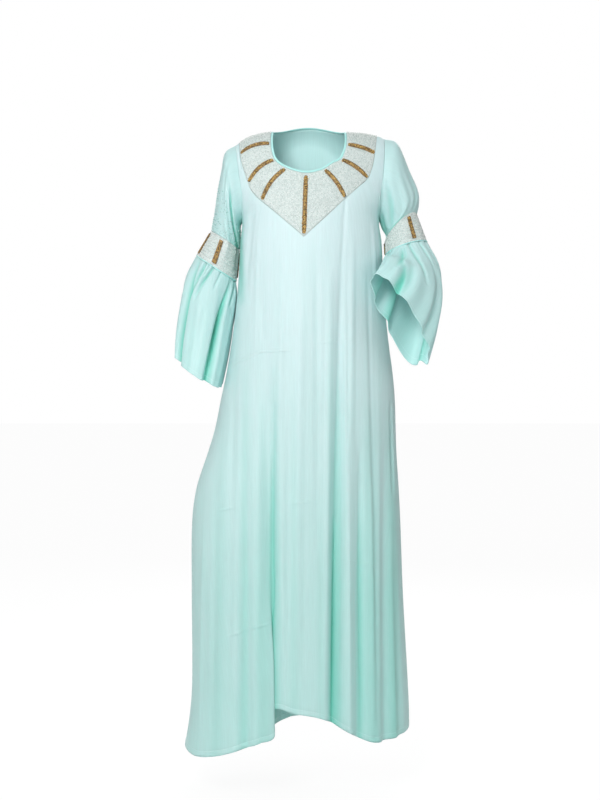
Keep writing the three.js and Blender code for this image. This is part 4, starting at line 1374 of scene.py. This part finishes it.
def makeBand(hand, arm):
    turn = np.linspace(0, 1, armGrid["around"] + 1)
    t = np.linspace(0.003, 0.997, armGrid["band"] + 1)
    points = bandPoints(arm, turn, t)
    # painted shade over the band's top, where it tucks under the sleeve
    masks = {"foldShade": hump((turn - arm["tucked"]) / 0.2)[:, None] * ease(1 - t * 6)[None] * 0.8}
    piece = gridPiece(f"band_{hand}_cloth", points, turned=arm["side"] > 0, closed=True, masks=masks)
    band = finishPiece(piece, pearlGround, [f"band_{hand}"], bandBead["cloth"])
    # beads in rows that run down the arm
    normals = tubeNormal(points, arm["side"])
    around = np.linalg.norm(np.diff(points[:, armGrid["band"] // 2], axis=0), axis=1).sum()
    random = np.random.default_rng(31 + arm["side"])
    rows = int(around / bandBead["pitch"])
    down = int(np.linalg.norm(np.diff(points[0], axis=0), axis=1).sum() / bandBead["pitch"])
    a, b = np.meshgrid(np.arange(rows) / rows, (np.arange(down) + 0.5) / down, indexing="ij")
    a, b = a.ravel() + random.normal(0, 0.0007, a.size), b.ravel() + random.normal(0, 0.004, b.size)
    keep = np.ones(a.shape, bool)
    for barTurn in arm["bars"]:
        apart = np.abs((a - barTurn + 0.5) % 1 - 0.5) * around
        keep &= (apart > bandBar["clear"]) | (b < bandBar["start"]) | (b > bandBar["end"])
    i = np.rint((a[keep] % 1) * armGrid["around"]).astype(int)
    j = np.rint(np.clip(b[keep], 0, 1) * armGrid["band"]).astype(int)
    sizes = bandBead["size"] * random.uniform(yoke["smallest"], yoke["largest"], len(i))
    places = points[i, j] + normals[i, j] * yoke["sit"]
    name, seed = f"band_{hand}_beads", 41 + arm["side"]
    beadwork = [scatter(name, places, normals[i, j], sizes, pearlBeads, seed=seed)]
    for number, barTurn in enumerate(arm["bars"], 1):
        t = np.linspace(bandBar["start"] + 0.02, bandBar["end"] - 0.02, 30)
        small = 1 / around
        line = bandPoints(arm, np.array([barTurn - small, barTurn, barTurn + small]), t)
        centre, aside = line[1], unit(line[2] - line[0])
        normal = unit(np.cross(aside, np.gradient(centre, axis=0)) * arm["side"])
        length = np.linalg.norm(np.diff(centre, axis=0), axis=1).sum()
        name = f"band_{hand}_bar_beads_{number}"
        beadwork.append(barBeads(name, centre, aside, normal, length, bronzeBeads, 60 + number))
    return band, beadwork


def makeFlounce(hand, arm):
    turn = np.linspace(0, 1, armGrid["around"] + 1)
    t = np.linspace(0.004, 1, armGrid["flounce"] + 1)
    points, ridge = flouncePoints(arm, turn, t)
    if arm["side"] < 0:
        points[..., 0] -= reachIn(points)
    # painted shade in the flounce's deep folds and pulled creases
    pulled = -tubeCreases(arm["creases"], turn, t)
    foldShade = np.clip(np.clip(-(ridge + 4) / 17, 0, 1) + np.clip((pulled - 2) / 14, 0, 0.5), 0, 0.95)
    fromHem = np.broadcast_to((1 - t) * armGrid["flounceLength"] * mm, ridge.shape)
    masks = {"foldShade": foldShade, "fromHem": fromHem}
    piece = gridPiece(f"flounce_{hand}_cloth", points, turned=arm["side"] > 0, closed=True, masks=masks)
    return finishPiece(piece, mint, [f"flounce_{hand}"], armGrid["cloth"])


dots = {"top": 0.5, "around": 62, "rows": 16, "steps": 40, "sparse": 0.3, "astray": 0.13, "bead": 2.4}


# Loose mint beads that thin out up the sleeve from the band.
def makeDots(hand, arm):
    random = np.random.default_rng(51)
    turn = np.linspace(0, 1, armGrid["around"] + 1)
    t = np.linspace(dots["top"], 0.985, dots["steps"])
    points = sleevePoints(arm, turn, t)
    normals = tubeNormal(points, arm["side"])
    a, b = np.meshgrid(np.arange(dots["around"]), np.arange(dots["rows"]), indexing="ij")
    a = (a + 0.5 * (b % 2) + random.normal(0, dots["astray"], a.shape)) / dots["around"] % 1
    b = (b + random.normal(0, dots["astray"], b.shape)) / (dots["rows"] - 1)
    keep = (random.random(a.shape) < dots["sparse"] + (1 - dots["sparse"]) * b) & (b >= 0) & (b <= 1)
    i = np.rint(a[keep] * armGrid["around"]).astype(int)
    j = np.rint(b[keep] * (dots["steps"] - 1)).astype(int)
    sizes = dots["bead"] * random.uniform(0.75, 1.1, len(i))
    places = points[i, j] + normals[i, j] * 0.4
    return scatter(f"sleeve_{hand}_beads", places, normals[i, j], sizes, mintBeads, seed=52)


# The rolled edge of cloth round the lower end of a band.
def makeBandEdge(hand, arm):
    turn = np.linspace(0, 1, bandEdge["steps"] + 1)
    line = bandPoints(arm, turn, np.array([bandEdge["at"]]))[:-1, 0]
    along = np.roll(line, -1, axis=0) - np.roll(line, 1, axis=0)
    out = unit(line - line.mean(0))
    side = unit(np.cross(along, out))
    around = np.linspace(0, 2 * math.pi, bandEdge["sides"] + 1)
    ring = side[:, None] * np.cos(around)[None, :, None] + out[:, None] * np.sin(around)[None, :, None]
    points = line[:, None] + ring * bandEdge["radius"]
    piece = gridPiece(f"band_{hand}_lower_edge", np.concatenate([points, points[:1]]), closed=True)
    faceOutwards(piece)
    return finishPiece(piece, mintTrim)


for hand, arm in arms.items():
    sleeve = makeSleeve(hand, arm)
    band, beadwork = makeBand(hand, arm)
    flounce = makeFlounce(hand, arm)
    beadwork.append(makeBandEdge(hand, arm))
    dotted = [makeDots(hand, arm)] if hand == "right" else []
print("sleeves made")

for name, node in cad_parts.items():
    if "_bar_" in name:
        node.data.materials.clear()
        node.data.materials.append(barPadding)

# Studio
studio = {
    "floor": -1.575,
    "camera": (-0.022, -2.904, -0.641),
    "lens": 54,
    "floorGlare": 1.06,
    "glareShare": 0.88,
    "skyFrom": (-0.35, -0.25, 0.9),  # the side that the soft light comes from
    "skyDim": 0.08,
    "skyBright": 0.6,
}
# place, what it is aimed at, size in metres and power in watts
lamps = {
    "key": ((-0.65, -2.4, 0.4), (0, 0, -0.38), 0.8, 50),
    "edge": ((2.4, -0.6, 0.3), (0, 0, -0.5), 1.0, 6),
    "rear": ((0.4, 2.6, 0.9), (0, 0, -0.6), 2.0, 40),
}


def makeFloor():
    shape = bmesh.new()
    bmesh.ops.create_grid(shape, x_segments=1, y_segments=1, size=45)
    bmesh.ops.translate(shape, verts=shape.verts, vec=(0, 0, studio["floor"]))
    mesh = bpy.data.meshes.new("floor")
    shape.to_mesh(mesh)
    shape.free()
    floor = addPiece("floor", mesh)
    material, tree, shader = newMaterial("paleFloor", {"Roughness": 0.8})
    color = mixColor(tree, noise(tree, objectPlace(tree), 0.8), (0.7, 0.7, 0.7), (0.74, 0.74, 0.74))
    feed(tree, shader.inputs["Base Color"], color)
    # seen straight on it is washed out by light, but it throws little of it back up
    glare = addNode(tree, "ShaderNodeEmission", {"Color": (1, 1, 1, 1), "Strength": studio["floorGlare"]})
    seen = addNode(tree, "ShaderNodeLightPath").outputs["Is Camera Ray"]
    share = calc(tree, "MULTIPLY", seen, studio["glareShare"])
    parts = {"Fac": share, 1: shader.outputs[0], 2: glare.outputs[0]}
    both = addNode(tree, "ShaderNodeMixShader", parts)
    feed(tree, tree.nodes["Material Output"].inputs["Surface"], both.outputs[0])
    mesh.materials.append(material)


# Soft light from above on one side, with a white surround.
def makeSurround():
    world = bpy.data.worlds.new("studio")
    world.use_nodes = True
    bpy.context.scene.world = world
    tree = world.node_tree
    toSky = addNode(tree, "ShaderNodeTexCoord").outputs["Generated"]
    lightSide = Vector(studio["skyFrom"]).normalized()
    facing = addNode(tree, "ShaderNodeVectorMath", {0: toSky, 1: lightSide}, operation="DOT_PRODUCT")
    light = ranged(tree, facing.outputs["Value"], -1, 1, studio["skyDim"], studio["skyBright"])
    seen = addNode(tree, "ShaderNodeLightPath").outputs["Is Camera Ray"]
    background = tree.nodes["Background"]
    feed(tree, background.inputs["Color"], (1, 1, 1, 1))
    feed(tree, background.inputs["Strength"], calc(tree, "MAXIMUM", light, seen))


def makeLamps():
    for name, (place, aim, size, power) in lamps.items():
        lamp = bpy.data.lights.new(name, "AREA")
        lamp.size = size
        lamp.energy = power
        holder = bpy.data.objects.new(name, lamp)
        bpy.context.scene.collection.objects.link(holder)
        holder.location = place
        holder.rotation_euler = (Vector(aim) - Vector(place)).to_track_quat("-Z", "Y").to_euler()


def makeCamera():
    camera = bpy.data.cameras.new("camera")
    camera.lens = studio["lens"]
    camera.sensor_width = 36
    camera.sensor_fit = "AUTO"
    view = bpy.data.objects.new("camera", camera)
    bpy.context.scene.collection.objects.link(view)
    view.location = studio["camera"]
    view.rotation_euler = (math.radians(90), 0, 0)
    bpy.context.scene.camera = view
    bpy.context.scene.view_settings.view_transform = "Standard"


makeFloor()
makeSurround()
makeLamps()
makeCamera()
print("studio made")
